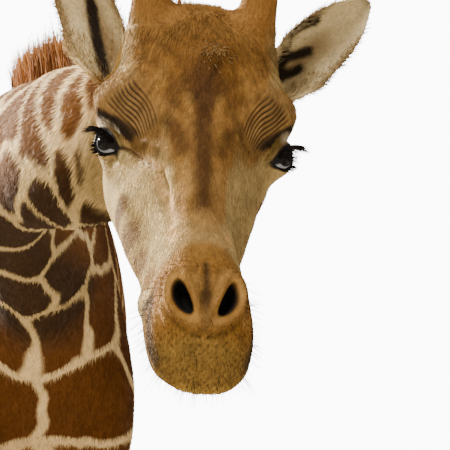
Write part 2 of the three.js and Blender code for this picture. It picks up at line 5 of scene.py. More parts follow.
import bmesh
import bpy
import numpy as np
from mathutils import Euler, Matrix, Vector


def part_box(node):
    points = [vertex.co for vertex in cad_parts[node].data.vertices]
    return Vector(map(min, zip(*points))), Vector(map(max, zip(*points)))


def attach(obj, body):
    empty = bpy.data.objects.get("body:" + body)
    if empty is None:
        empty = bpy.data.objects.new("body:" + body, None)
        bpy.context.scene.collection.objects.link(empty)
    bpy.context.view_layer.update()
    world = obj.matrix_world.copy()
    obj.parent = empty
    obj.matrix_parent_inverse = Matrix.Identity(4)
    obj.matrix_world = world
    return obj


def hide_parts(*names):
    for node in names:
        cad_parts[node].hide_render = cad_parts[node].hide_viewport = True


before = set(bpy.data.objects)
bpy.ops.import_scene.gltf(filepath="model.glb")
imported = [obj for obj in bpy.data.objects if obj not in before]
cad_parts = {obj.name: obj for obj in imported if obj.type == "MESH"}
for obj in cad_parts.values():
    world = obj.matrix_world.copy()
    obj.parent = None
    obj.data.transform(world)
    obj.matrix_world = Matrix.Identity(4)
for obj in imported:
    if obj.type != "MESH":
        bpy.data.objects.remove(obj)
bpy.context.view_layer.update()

# ------------------------------------------------------------------ the head's own frame
# Every measure on the head is taken from the middle between the eyes: x to the animal's left,
# y towards the nose and z out of the forehead, in metres, with the head hanging and turned.
HEAD_PITCH = math.radians(51.5)
HEAD_ROLL = math.radians(2.6)
HEAD_YAW = math.radians(-3.6)
EYE_RISE = 0.002
SIDES = {"left": 1, "right": -1}


def middle_of(node):
    low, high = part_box(node)
    return (np.array(low) + np.array(high)) / 2


eye_middle = {word: middle_of(f"eye_{word}") for word in SIDES}
head_turn = np.array(Euler((HEAD_PITCH, HEAD_ROLL, HEAD_YAW), "XYZ").to_matrix())
head_origin = (eye_middle["left"] + eye_middle["right"]) / 2 - head_turn @ [0, 0, EYE_RISE]
NOSE_FORWARD = np.array([1, -1, 1])


def to_head(places):
    return ((np.asarray(places) - head_origin) @ head_turn) * NOSE_FORWARD


def from_head(places):
    return head_origin + (np.asarray(places) * NOSE_FORWARD) @ head_turn.T


def head_direction(way):
    return (np.asarray(way, float) * NOSE_FORWARD) @ head_turn.T


# ------------------------------------------------------------------ camera
# A long lens stands in front of the animal at the height of a tall person's eyes, and looks up
# at the hanging head, which fills the square frame.
LENS = 69.6
CAMERA_TURN = math.radians(11.7)
CAMERA_RISE = math.radians(13.9)
CAMERA_FROM_EYES = Vector((-0.197, -1.162, -0.398))

camera_data = bpy.data.cameras.new("camera")
camera_data.lens = LENS
camera_data.clip_end = 60
camera = bpy.data.objects.new("camera", camera_data)
bpy.context.scene.collection.objects.link(camera)
camera.location = Vector(head_origin) + CAMERA_FROM_EYES
camera.rotation_euler = Euler((math.pi / 2 + CAMERA_RISE, 0, -CAMERA_TURN), "XYZ")
bpy.context.scene.camera = camera

# ------------------------------------------------------------------ the skin's rough form
# Under its coat a giraffe is one hide from lip to fetlock. The flesh parts are joined, remeshed
# as one surface, smoothed free of flats, and refined towards the face.
FLESH = ["trunk", "neck", "head", "lower_jaw"]
FLESH += [f"leg_{end}_{word}" for end in ("front", "hind") for word in SIDES]
OVERLAP = 0.0008
BODY_GRID = 0.0265
HEAD_REACH = 0.47
HEAD_CENTRE = np.array([0, 0.07, 0])
LEG_TOP = 1.05


def deselect_all():
    for item in bpy.context.selected_objects:
        item.select_set(False)


def only(item):
    deselect_all()
    item.select_set(True)
    bpy.context.view_layer.objects.active = item


def apply_modifier(item, kind, **settings):
    only(item)
    modifier = item.modifiers.new(kind.lower(), kind)
    for name, value in settings.items():
        setattr(modifier, name, value)
    bpy.ops.object.modifier_apply(modifier=modifier.name)


def merged_copy(node, name, outset=0.0):
    """A copy of a frame part with its doubles merged and its faces pushed out a little."""
    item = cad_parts[node].copy()
    item.data = item.data.copy()
    item.name = name
    item.modifiers.clear()
    bpy.context.scene.collection.objects.link(item)
    work = bmesh.new()
    work.from_mesh(item.data)
    bmesh.ops.remove_doubles(work, verts=work.verts, dist=1e-5)
    work.normal_update()
    for vertex in work.verts:
        vertex.co += vertex.normal * outset
    work.to_mesh(item.data)
    work.free()
    return item


def places_of(item):
    places = np.empty(len(item.data.vertices) * 3)
    item.data.vertices.foreach_get("co", places)
    return places.reshape(-1, 3)


def set_places(item, places):
    item.data.vertices.foreach_set("co", np.ascontiguousarray(places, dtype=float).ravel())
    item.data.update()


def normals_of(item):
    normals = np.empty(len(item.data.vertices) * 3)
    item.data.vertices.foreach_get("normal", normals)
    return normals.reshape(-1, 3)


def links_of(item):
    ends = np.empty(len(item.data.edges) * 2, dtype=np.int64)
    item.data.edges.foreach_get("vertices", ends)
    return ends.reshape(-1, 2)


def smoothed(item, places, rounds, share, give_back=0.0):
    """Each point moves a share of the way to the middle of its neighbours, then partly back."""
    links = links_of(item)
    count = len(places)
    weight = np.maximum(np.bincount(links.ravel(), minlength=count), 1)[:, None]
    moved = places.copy()
    steps = [share] if give_back == 0 else [share, -give_back]
    for amount in steps * rounds:
        total = np.empty_like(moved)
        for axis in range(3):
            total[:, axis] = np.bincount(links[:, 0], moved[links[:, 1], axis], count)
            total[:, axis] += np.bincount(links[:, 1], moved[links[:, 0], axis], count)
        moved += amount * (total / weight - moved)
    return moved


def ramp(values, low, high):
    """0 at low and below, 1 at high and above, and an easy curve between them."""
    share = np.clip((values - low) / (high - low), 0, 1)
    return share * share * (3 - 2 * share)


def bell(distance, reach):
    return np.exp(-(distance * distance) / (2 * reach * reach))


def refine(item, chosen):
    """Every face whose middle is chosen is cut in four."""
    work = bmesh.new()
    work.from_mesh(item.data)
    middles = np.array([face.calc_center_median() for face in work.faces])
    edges = {edge for face, pick in zip(work.faces, chosen(middles)) if pick for edge in face.edges}
    bmesh.ops.subdivide_edges(work, edges=list(edges), cuts=1, use_grid_fill=True)
    work.to_mesh(item.data)
    work.free()


def from_head_centre(places):
    return np.linalg.norm(to_head(places) - HEAD_CENTRE, axis=1)


def lay_on(item, form, weights):
    """Weighted points of a piece are drawn to the nearest place on a form."""
    before = places_of(item)
    apply_modifier(item, "SHRINKWRAP", target=form, wrap_method="NEAREST_SURFACEPOINT")
    set_places(item, before + (places_of(item) - before) * weights(before)[:, None])


def head_share(places):
    return 1 - ramp(from_head_centre(places), HEAD_REACH - 0.17, HEAD_REACH - 0.05)


LID_RADIUS = 0.0298

skin = merged_copy(FLESH[0], "skin", OVERLAP)
lid_balls = []
for word in SIDES:
    deselect_all()
    bpy.ops.mesh.primitive_uv_sphere_add(
        segments=40, ring_count=24, radius=LID_RADIUS, location=eye_middle[word]
    )
    lid_balls.append(bpy.context.object)
for part in [merged_copy(node, "part", OVERLAP) for node in FLESH[1:]] + lid_balls:
    apply_modifier(skin, "BOOLEAN", operation="UNION", solver="MANIFOLD", object=part)
    bpy.data.objects.remove(part)
flesh_form = skin.copy()
flesh_form.data = skin.data.copy()
bpy.context.scene.collection.objects.link(flesh_form)
skin.data.remesh_voxel_size = BODY_GRID
skin.data.remesh_voxel_adaptivity = 0
only(skin)
bpy.ops.object.voxel_remesh()

# The trunk and neck are rounded hard, the legs and head only a little.
places = places_of(skin)
bulk = ramp(places[:, 2], 1.62, 1.95) * ramp(from_head_centre(places), 0.42, 0.72)
places = smoothed(skin, places, 10, 0.55, 0.57)
set_places(skin, smoothed(skin, places, 26, 0.5 * bulk[:, None]))

# The head is cut finer in steps, and laid back on the flesh after each of the first two.
refine(skin, lambda middles: (from_head_centre(middles) < HEAD_REACH) | (middles[:, 2] < LEG_TOP))
lay_on(skin, flesh_form, head_share)
set_places(skin, smoothed(skin, places_of(skin), 6, 0.5, 0.52))
refine(skin, lambda middles: from_head_centre(middles) < HEAD_REACH - 0.06)
lay_on(skin, flesh_form, head_share)
places = smoothed(skin, places_of(skin), 34, 0.5, 0.515)
set_places(skin, places)
bpy.data.objects.remove(flesh_form)

# ------------------------------------------------------------------ ears, ossicones and tail
# Ears are cupped leaves of gristle rolled into a tube at the root, ossicones are skin-covered
# bone knobs, and the tail is a whip. Each is lofted as a closed form and joined into the skin.
EARS = {
    "left": {"aim": (0.68, -0.42, 0.58), "mouth": (0.21, 0.76, 0.61)},
    "right": {"aim": (-0.45, -0.62, 0.6), "mouth": (-0.36, 0.76, 0.55)},
}
EAR_ROOT = np.array([0.116, -0.18, 0.008])
EAR_LENGTH = 0.236
EAR_HALF_WIDTH = 0.050
EAR_TUBE = 0.025
EAR_WIDEST = 0.45
EAR_THICK = 0.0062
EAR_STEPS = 46
EAR_ARC = 22
OSSICONE_ROOT = np.array([0.072, -0.130, 0.100])
OSSICONE_LEAN = np.array([0.1, -0.4, 0.91])
OSSICONE_LENGTH = 0.160
OSSICONE_PROFILE = [(-0.2, 0.047), (0, 0.044), (0.3, 0.037), (0.52, 0.029), (0.75, 0.0225)]
OSSICONE_PROFILE += [(0.9, 0.0245), (0.97, 0.0225), (1.02, 0.016), (1.04, 0.007)]
TAIL = [(0.80, 2.265, 0.048), (0.85, 2.225, 0.040), (0.90, 2.15, 0.032), (0.935, 2.06, 0.027)]
TAIL += [(0.952, 1.92, 0.021), (0.955, 1.70, 0.016), (0.948, 1.48, 0.0125), (0.944, 1.36, 0.011)]
TAIL_SIDES = 16
TAIL_HINDMOST = 0.980
body_middle = float(middle_of("tail")[0])
TAIL_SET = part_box("tail")[1][1] - TAIL_HINDMOST


def unit(vector):
    return np.asarray(vector, float) / np.linalg.norm(vector)


def loft(name, rings, first, last):
    """A closed form over rings with the same count of points, with a point at each end."""
    count, sides = len(rings), len(rings[0])
    grid = 1 + np.arange(count * sides).reshape(count, sides)
    faces = []
    for ring in range(count - 1):
        for side in range(sides):
            after = (side + 1) % sides
            here, above = grid[ring], grid[ring + 1]
            faces.append((here[side], here[after], above[after], above[side]))
    for side in range(sides):
        after = (side + 1) % sides
        faces.append((0, grid[0, after], grid[0, side]))
        faces.append((count * sides + 1, grid[-1, side], grid[-1, after]))
    points = np.vstack([[first], np.reshape(rings, (-1, 3)), [last]])
    data = bpy.data.meshes.new(name)
    data.from_pydata(points.tolist(), [], [tuple(int(i) for i in face) for face in faces])
    item = bpy.data.objects.new(name, data)
    bpy.context.scene.collection.objects.link(item)
    work = bmesh.new()
    work.from_mesh(data)
    bmesh.ops.recalc_face_normals(work, faces=work.faces)
    work.to_mesh(data)
    work.free()
    return item


def spine_frame(points):
    """A direction and two square ones at every point of a path."""
    ahead = np.gradient(points, axis=0)
    ahead /= np.linalg.norm(ahead, axis=1)[:, None]
    side = np.cross(ahead, np.where(np.abs(ahead[:, :1]) < 0.9, [[1.0, 0, 0]], [[0, 1.0, 0]]))
    side /= np.linalg.norm(side, axis=1)[:, None]
    return ahead, side, np.cross(ahead, side)


def tube(name, points, radii, sides):
    points, radii = np.asarray(points, float), np.asarray(radii, float)
    ahead, side, over = spine_frame(points)
    turn = np.linspace(0, 2 * math.pi, sides, endpoint=False)
    circle = np.cos(turn)[None, :, None] * side[:, None] + np.sin(turn)[None, :, None] * over[:, None]
    rings = points[:, None] + circle * radii[:, None, None]
    first = points[0] - ahead[0] * radii[0] * 0.4
    last = points[-1] + ahead[-1] * radii[-1] * 0.5
    return loft(name, rings, first, last)


def eased(stations, count):
    """Rows of numbers spread evenly along a smooth line through the stations."""
    stations = np.asarray(stations, float)
    at = np.linspace(0, len(stations) - 1, count)
    step = np.minimum(at.astype(int), len(stations) - 2)
    share = (at - step)[:, None]
    padded = np.vstack([2 * stations[0] - stations[1], stations, 2 * stations[-1] - stations[-2]])
    p0, p1, p2, p3 = (padded[step + i] for i in range(4))
    curve = 2 * p1 + (p2 - p0) * share + (2 * p0 - 5 * p1 + 4 * p2 - p3) * share**2
    return 0.5 * (curve + (3 * p1 - p0 - 3 * p2 + p3) * share**3)


def ear_axes(word):
    along = unit(EARS[word]["aim"])
    across = unit(np.cross(along, unit(EARS[word]["mouth"])))
    return along, across, np.cross(across, along)


def ear_shape(share):
    """Half the turn of the leaf, its radius of curl, and how far it is cupped forward."""
    opened = np.sin(math.pi / 2 * min(1.0, share / EAR_WIDEST))
    closed = max(0.0, share - EAR_WIDEST) / (1.02 - EAR_WIDEST)
    wide = (EAR_TUBE + (EAR_HALF_WIDTH - EAR_TUBE) * opened) * (1 - closed**2.3) ** 0.8
    half = math.radians(150 + (62 - 150) * min(1.0, share * 1.8))
    return half, wide / math.sin(min(half, math.pi / 2))


def ear_point(word, share, turn, inset):
    along, across, facing = ear_axes(word)
    half, radius = ear_shape(share)
    root = EAR_ROOT * [SIDES[word], 1, 1]
    spine = root + along * (share * EAR_LENGTH - 0.012) + facing * (0.018 * share**2 - radius * 0.25)
    reach = radius - inset
    out = across * reach * math.sin(turn * half)
    return spine + out + facing * (radius - reach * math.cos(turn * half) - 0.012)


def ear_form(word):
    rings = []
    for step in range(EAR_STEPS + 1):
        share = step / EAR_STEPS
        thick = EAR_THICK * (1 - 0.4 * share)
        turns = np.linspace(-1, 1, EAR_ARC + 1)
        back = [ear_point(word, share, turn, 0.0006) for turn in turns]
        front = [ear_point(word, share, 0.97 * turn, thick) for turn in turns[::-1]]
        rings.append(back + front)
    rings = np.array(rings)
    tip = rings[-1].mean(axis=0)
    root = rings[0].mean(axis=0)
    placed = from_head(rings.reshape(-1, 3)).reshape(rings.shape)
    return loft("part", placed, from_head(root), from_head(tip))


def ossicone_form(word):
    mirror = [SIDES[word], 1, 1]
    aim = unit(OSSICONE_LEAN * mirror)
    profile = eased(OSSICONE_PROFILE, 40)
    points = OSSICONE_ROOT * mirror + profile[:, :1] * aim * OSSICONE_LENGTH
    return tube("part", from_head(points), profile[:, 1], 26)


def tail_form():
    row = eased(TAIL, 90)
    points = np.stack([np.full(len(row), body_middle), row[:, 0] + TAIL_SET, row[:, 1]], axis=1)
    return tube("part", points, row[:, 2], TAIL_SIDES)


for form in [ossicone_form(word) for word in SIDES] + [ear_form(word) for word in SIDES] + [tail_form()]:
    apply_modifier(skin, "BOOLEAN", operation="UNION", solver="MANIFOLD", object=form)
    bpy.data.objects.remove(form)

# The joins are rubbed smooth, so that the hide flows from the head into each of them.
MM = 1000.0


def folded_spot(places):
    """Head measures in mm, with the right half folded onto the left."""
    spot = to_head(places) * MM
    return spot, np.stack([np.abs(spot[:, 0]), spot[:, 1], spot[:, 2]], axis=1)


def along_knob(places):
    """How far up an ossicone's axis a place lies, and how far off that axis, in metres."""
    away = folded_spot(places)[1] / MM - OSSICONE_ROOT
    up = away @ unit(OSSICONE_LEAN)
    return up, np.linalg.norm(away - up[:, None] * unit(OSSICONE_LEAN), axis=1)


places = places_of(skin)
up, aside = along_knob(places)
seam = bell(up - 0.045, 0.022) * ramp(aside, 0.085, 0.065)
ear_gap = np.linalg.norm(folded_spot(places)[1] / MM - EAR_ROOT, axis=1)
seam = np.maximum(seam, bell(ear_gap, 0.030))
tail_root = np.array([body_middle, TAIL_SET + 0.85, 2.24])
seam = np.maximum(seam, bell(np.linalg.norm(places - tail_root, axis=1), 0.07))
set_places(skin, smoothed(skin, places, 14, 0.55 * seam[:, None]))

# ------------------------------------------------------------------ the face, sculpted
# Over the bone lie thin muscles and loose hide: lids round each eye, furrows over the brows,
# tear grooves, slit nostrils with soft wings, and the line of the mouth. Measures are in mm.
COAT_DEPTH = {"face": 2.0, "head": 3.5, "body": 5.0}
GAZE = unit([0.68, 0.6, 0.42])
FISSURE = unit([-0.66, 0.75, 0.0] - GAZE * np.dot([-0.66, 0.75, 0.0], GAZE))
LID_UP = np.cross(GAZE, FISSURE) * np.sign(np.cross(GAZE, FISSURE)[2])
FISSURE_HALF = 53.0
OPEN_HALF = 32.0
LID_ROUND = 2.2
SOCKET = 19.5
LID_OUT = 28.9
UPPER_LID_THICK = 2.0
BROW_CENTRE = np.array([92.0, 12.0, 68.0])
NOSTRIL = np.array([28.0, 340.0, 30.0])
NOSTRIL_SLIT = unit([-15, 36, -13])
NOSTRIL_AXIS = unit([0.36, 0.58, 0.73])
NOSTRIL_ACROSS = np.cross(NOSTRIL_AXIS, NOSTRIL_SLIT)
NOSTRIL_LONG = 23.0
NOSTRIL_WIDE = 9.6
NOSTRIL_BEND = 0.006
NOSTRIL_DEPTH = 19.0
NOSE_START = 300
NOSE_REACH = 48
HEAD_EDGE = 0.42

eye_spot = {word: to_head(eye_middle[word]) * MM for word in SIDES}


def opening_half(wide):
    """Half the height of the eye's opening, in degrees, narrower towards its inner corner."""
    return OPEN_HALF * (1 - 0.38 * np.clip(wide / FISSURE_HALF, 0, 1) ** 2)


def lid_angle(places):
    """How far out a place is from the middle of the eye's opening, 1 at the lid's edge, then
    its height and width in the opening, and its distance from the middle of the ball."""
    spot, fold = folded_spot(places)
    centre = np.where(spot[:, :1] > 0, eye_spot["left"], eye_spot["right"] * [-1, 1, 1])
    away = fold - centre
    reach = np.maximum(np.linalg.norm(away, axis=1), 1e-6)
    ahead, along, above = (away @ axis / reach for axis in (GAZE, FISSURE, LID_UP))
    turn = np.degrees(np.arccos(np.clip(ahead, -1, 1)))
    flat = np.maximum(np.hypot(along, above), 1e-6)
    wide, high = along / flat * turn, above / flat * turn
    across, up = np.abs(wide / FISSURE_HALF), np.abs(high / opening_half(wide))
    out = (across**LID_ROUND + up**LID_ROUND) ** (1 / LID_ROUND)
    return out, high / OPEN_HALF, wide / FISSURE_HALF, reach


def near_nostril(places, reach):
    fold = folded_spot(places)[1]
    return np.linalg.norm(fold - NOSTRIL, axis=1) < reach


def on_brow(places, reach):
    fold = folded_spot(places)[1]
    return np.linalg.norm(fold - BROW_CENTRE, axis=1) < reach


def near_lids(places, low, high):
    out, _, _, reach = lid_angle(places)
    return (out > low) & (out < high) & (reach < 44)


# Three rounds cut the brows, the lids, the nostrils and the lips finer and finer.
refine(skin, lambda spots: on_brow(spots, 70) | near_lids(spots, 0, 2.0) | (to_head(spots)[:, 1] > 0.287))
set_places(skin, smoothed(skin, places_of(skin), 6, 0.5, 0.52))
refine(skin, lambda spots: on_brow(spots, 55) | near_lids(spots, 0, 1.85) | near_nostril(spots, 30))
set_places(skin, smoothed(skin, places_of(skin), 5, 0.5, 0.52))
refine(skin, lambda spots: near_lids(spots, 0.72, 1.3))
set_places(skin, smoothed(skin, places_of(skin), 4, 0.5, 0.52))

# The coat's own depth is left free under the outline of the solids.
places = places_of(skin)
on_muzzle = ramp(to_head(places)[:, 1], 0.20, 0.30)
from_centre = from_head_centre(places)
depth = COAT_DEPTH["head"] + (COAT_DEPTH["body"] - COAT_DEPTH["head"]) * ramp(from_centre, 0.3, 0.6)
depth += (COAT_DEPTH["face"] - depth) * on_muzzle * (from_centre < 0.5)
eye_gap = np.minimum(*[np.linalg.norm(places - eye_middle[word], axis=1) for word in SIDES])
depth *= ramp(eye_gap, 0.030, 0.055) * ramp(places[:, 2], 0.06, 0.16)
thin = (places[:, 1] > TAIL_SET + 0.90) & (places[:, 2] < 2.2)
fold = folded_spot(places)[1]
on_ear = (fold[:, 0] > 132) & (fold[:, 1] < -150) & (from_centre < 0.6)
depth[thin | on_ear] = 0.0
set_places(skin, places - normals_of(skin) * depth[:, None] / MM)

# Soft lumps and hollows: where, how far they reach, and their push. Those off the middle are on
# both sides. RELIEF deepens them and the creases together.
RELIEF = 1.35
LUMPS = [
    ((10, -44, 128), 14, (0, 3, 7)),
    ((10, -22, 112), 16, (0, 2, 3)),
    ((118, 32, -22), 11, (3, 3, 0)),
    ((82, 108, -24), 22, (4, 0, 0)),
    ((70, 150, -60), 26, (3, 0, -1)),
    ((60, 205, -20), 20, (-3, 0, 0)),
    ((62, 268, -52), 12, (4, 0, 0)),
    ((30, 70, 92), 17, (0, 0, 3)),
    ((96, -10, 88), 22, (2, 0, 4)),
    ((66, 22, 84), 18, (-1, 0, -4)),
    ((0, 120, 66), 24, (0, 0, 2)),
    ((42, 300, 20), 12, (3, 0, 1)),
    ((0, 392, -30), 26, (0, 2, 0)),
    ((88, -150, -80), 40, (5, 0, 0)),
]
# Creases: a line of places, how wide and how deep they are cut.
CREASES = [
    ([(103, 33, 19), (93, 49, 25), (80, 68, 28), (66, 94, 36), (53, 122, 42), (47, 150, 38)], 3.0, 4.2),
    ([(52, 122, 44), (47, 150, 37), (44, 180, 30), (41, 205, 29)], 5.5, 3.8),
    ([(35, 150, 52), (33, 190, 48), (31, 230, 44)], 6.0, 1.8),
    ([(62, 236, -64), (58, 300, -67), (50, 352, -69), (34, 384, -68), (0, 396, -67)], 2.6, 5.5),
    ([(44, 300, 42), (57, 318, 24), (56, 344, 8), (44, 362, -1)], 3.8, 2.6),
    ([(72, 176, 8), (74, 214, -14), (68, 250, -34)], 5.0, 2.0),
    ([(92, 74, -6), (84, 120, 2), (74, 160, 8)], 6.0, 1.6),
    ([(100, 20, -42), (88, 70, -62), (74, 120, -74)], 7.0, 1.6),
]
MIDLINE_CREASES = [
    ([(-2, 312, 48), (-2, 340, 39), (-4, 358, 25)], 4.5, 3.6),
    ([(-9, -10, 118), (-6, 20, 105), (-4, 60, 92)], 4.0, 1.6),
]


def line_gap(spot, line):
    """The distance to the nearest place on a broken line, in mm."""
    gap = np.full(len(spot), 1e9)
    for start, end in zip(np.array(line[:-1], float), np.array(line[1:], float)):
        run = end - start
        share = np.clip((spot - start) @ run / (run @ run), 0, 1)
        gap = np.minimum(gap, np.linalg.norm(spot - start - share[:, None] * run, axis=1))
    return gap


# The furrows over a brow run from its outer edge down to the inner corner of the eye.
FURROW_RUN = unit([-0.467, 0.844, -0.263])
FURROW_STEP = unit([-0.647, -0.123, 0.752])
FURROWS = 9
FURROWS_START = -86.5
FURROWS_LONG = 83.5
FURROWS_MIDDLE = -7.3
FURROWS_WIDE = 62
FURROWS_TAPER = 18
FURROW_DEPTH = 1.9


def furrows(fold):
    """How deep in a furrow each place is, 1 at its bottom, and how far it is among the furrows."""
    run, step = fold @ FURROW_RUN, fold @ FURROW_STEP
    share = (run - FURROWS_START) / FURROWS_LONG
    width = FURROWS_WIDE - FURROWS_TAPER * share
    wave = 2.6 * np.sin(2 * math.pi * (share * 1.05 + 0.1)) + 0.9 * np.sin(9 * share + 0.12 * step)
    across = (step - FURROWS_MIDDLE + wave) / width + 0.5
    valley = 0.5 + 0.5 * np.cos(2 * math.pi * FURROWS * across)
    mask = ramp(across, -0.08, 0.16) * ramp(across, 1.08, 0.84) * ramp(share, -0.08, 0.14)
    mask *= ramp(share, 1.1, 0.86) * (np.linalg.norm(fold - BROW_CENTRE, axis=1) < 84)
    return valley**1.8 * mask, mask


def slit(fold):
    """How far out a place is from the middle of a nostril's slit, 1 at its edge, and whether
    it is on the end of the nose at all."""
    away = fold - NOSTRIL
    run, across = away @ NOSTRIL_SLIT, away @ NOSTRIL_ACROSS
    edge = np.hypot(run / NOSTRIL_LONG, (across - NOSTRIL_BEND * run * run) / NOSTRIL_WIDE)
    return edge, (np.linalg.norm(away, axis=1) < NOSE_REACH) & (fold[:, 1] > NOSE_START)


spot, fold = folded_spot(places_of(skin))
mirror = np.where(spot[:, :1] < 0, [[-1, 1, 1]], [[1, 1, 1]])
push = np.zeros_like(spot)
for at, reach, move in LUMPS:
    away = (fold if at[0] > 12 else spot) - at
    share = bell(np.linalg.norm(away, axis=1), reach)[:, None]
    push += RELIEF * share * np.array(move, float) * (mirror if at[0] > 12 else 1)
outward = (normals_of(skin) @ head_turn) * NOSE_FORWARD
on_head = (from_head_centre(places_of(skin)) < HEAD_EDGE).astype(float)
cut = np.zeros(len(spot))
for line, wide, deep in CREASES:
    cut += RELIEF * deep * bell(line_gap(fold, line), wide)
for line, wide, deep in MIDLINE_CREASES:
    cut += deep * bell(line_gap(spot, line), wide)
cut += FURROW_DEPTH * furrows(fold)[0]
edge, on_nose = slit(fold)
on_nose = on_nose & (outward @ [0, 0.7, 0.7] > -0.2)
rim = (4.4 * bell(edge - 1.5, 0.24) - 1.8 * bell(edge - 2.35, 0.28)) * on_nose
creased = 0.7 * np.cos(fold[:, 1] * 0.57 + 0.012 * fold[:, 0] ** 2) * bell(fold[:, 1] - 298, 13)
creased *= ramp(fold[:, 2], 10, 30)
push += outward * (rim + creased - cut)[:, None]
pit = NOSTRIL_DEPTH * (1 - ramp(edge, 0.42, 1.04)) * on_nose
push -= (NOSTRIL_AXIS * mirror) * pit[:, None]
spot += push * on_head[:, None]
set_places(skin, from_head(spot / MM))

# The lids close over each ball: a socket behind the opening, a thick upper lid, a thinner lower.
places = places_of(skin)
out, high, _, reach = lid_angle(places)
upper = ramp(high, -0.2, 0.5)
margin = LID_OUT + UPPER_LID_THICK * upper
fold_back = 1.5 * bell(out - 1.75, 0.13) * upper + 0.8 * bell(out - 1.55, 0.11) * (1 - upper)
lid = SOCKET + (margin - SOCKET) * ramp(out, 0.86, 1.05) - fold_back
share = ramp(out, 2.15, 1.45) * (reach < 46)
share = np.maximum(share, (out < 1.05) * (reach < 46))
spot = to_head(places) * MM
centre = np.where(spot[:, :1] > 0, eye_spot["left"], eye_spot["right"])
away = spot - centre
spot = centre + away * (1 + share * (lid / reach - 1))[:, None]
set_places(skin, from_head(spot / MM))
soft = bell(out - 1.6, 0.5) * (out > 1.15) * (reach < 60)
set_places(skin, smoothed(skin, places_of(skin), 4, 0.5 * soft[:, None]))
rubbed = 0.4 * (furrows(folded_spot(places)[1])[0] > 0.02)
set_places(skin, smoothed(skin, places_of(skin), 1, rubbed[:, None]))

# The lowest skin reaches down behind the coronets of the hooves.
PASTERN_DROP = 0.022
places = places_of(skin)
places[:, 2] -= PASTERN_DROP * ramp(places[:, 2], 0.12, 0.075)
set_places(skin, places)
only(skin)
bpy.ops.object.shade_smooth()

# ------------------------------------------------------------------ markings
# Brown patches lie in a net of paler lines, long on the neck, large on the trunk, and small and
# fading down the legs. On the face the hair is painted by zones: stripe, streaks, rims and lips.
chance = np.random.default_rng(27)
RICHNESS = 1.04
# Middles of the patches on the neck's right side and the breast, in the frame.
PATCHES = [
    (-0.155, -1.055, 2.345), (-0.11, -1.16, 2.28), (-0.09, -1.195, 2.32), (-0.05, -1.25, 2.29),
    (-0.045, -1.215, 2.175), (-0.025, -1.26, 2.18), (0.0, -1.20, 2.125), (0.0, -1.275, 2.175),
    (-0.08, -1.14, 2.17), (-0.10, -1.03, 2.15), (-0.15, -1.055, 2.23), (-0.145, -0.83, 2.165),
    (-0.13, -0.38, 2.11), (-0.025, -0.385, 2.19), (0.105, 0.01, 2.18), (-0.038, -0.147, 2.045),
    (-0.15, -0.125, 2.04), (-0.232, 0.113, 1.868), (0.094, 0.11, 1.871), (0.15, 0.221, 1.6),
]


def shade(red, green, blue):
    """The linear light of a screen colour from 0 to 255, made a little richer."""
    part = ((np.array([red, green, blue]) / 255 + 0.055) / 1.055) ** 2.4
    return np.clip(part.mean() + (part - part.mean()) * RICHNESS, 0.001, 1)


NECK_NET = shade(234, 208, 160)
NECK_PATCH = shade(122, 80, 38)
CHEST_NET = shade(228, 198, 144)
CHEST_PATCH = shade(92, 54, 18)
# Painted shade: darker net and patch colours for the underside of the neck and the throat.
SHADED_THROAT_NET = shade(176, 148, 92)
SHADED_THROAT_PATCH = shade(40, 25, 10)
FLANK_NET = shade(214, 184, 136)
FLANK_PATCH = shade(128, 80, 36)
LEG_NET = shade(216, 196, 160)
LEG_PATCH = shade(160, 118, 74)
BELLY = shade(222, 204, 170)
# Where a line's colour starts to turn to the patch's and where it has turned, in line widths.
NET_EDGE = (0.5, 1.3)


def coat_place(places):
    """Places as the pattern sees them: squeezed along the neck, and wavered by slow waves."""
    places = np.asarray(places, float)
    spots = places.copy()
    spots[:, 1] = np.interp(places[:, 1], [-2.0, -1.05, 0.0, 2.0], [-1.82, -0.68, 0.0, 2.0])
    spots[:, 2] = 2.2 + (places[:, 2] - 2.2) * (1 - 0.4 * ramp(-places[:, 1], 0.9, 1.15))
    for axis, (first, second) in enumerate([(1, 2), (2, 0), (0, 1)]):
        one, two = places[:, first], places[:, second]
        spots[:, axis] += 0.011 * np.sin(29 * one + 7 * two) + 0.006 * np.sin(63 * two - 9 * one)
    return spots


def patch_reach(places):
    """How far apart the middles of neighbouring patches lie, in metres."""
    reach = 0.19 - 0.065 * ramp(-places[:, 1], 0.0, 0.45) - 0.03 * ramp(-places[:, 1], 0.5, 1.1)
    breast = ramp(places[:, 2], 1.96, 1.86) * ramp(places[:, 2], 1.5, 1.6)
    reach += 0.07 * breast * ramp(places[:, 1], 0.45, 0.35)
    low = ramp(places[:, 2], 1.65, 1.35) * 0.06 + ramp(places[:, 2], 0.9, 0.5) * 0.028
    return reach - low


def net_width(places):
    """The width of the pale lines, in metres."""
    return 0.030 - 0.010 * ramp(-places[:, 1], -0.1, 0.3) - 0.002 * ramp(-places[:, 1], 0.7, 1.1)


def scattered(places):
    """Middles of patches: the placed ones first, then chance ones wherever there is room."""
    mirrored = np.array(PATCHES) * [-1, 1, 1] + [2 * body_middle, 0, 0]
    hopefuls = np.vstack([PATCHES, mirrored, places[chance.permutation(len(places))]])
    at, reach = coat_place(hopefuls), patch_reach(hopefuls)
    reach[: len(PATCHES)] = 0.0
    reach[len(PATCHES) : 2 * len(PATCHES)] *= 0.75
    kept = np.empty((0, 3))
    for spot, room in zip(at, reach):
        if len(kept) == 0 or np.min(((kept - spot) ** 2).sum(axis=1)) > room * room:
            kept = np.vstack([kept, spot])
    return kept


def nearest_four(places):
    """The four patch middles nearest to each place as the pattern sees it."""
    found = np.empty((len(places), 4), dtype=np.int64)
    for start in range(0, len(places), 4000):
        some = places[start : start + 4000]
        away = ((some[:, None, :] - seeds[None, :, :]) ** 2).sum(axis=2)
        found[start : start + 4000] = np.argpartition(away, 4, axis=1)[:, :4]
    return seeds[found]


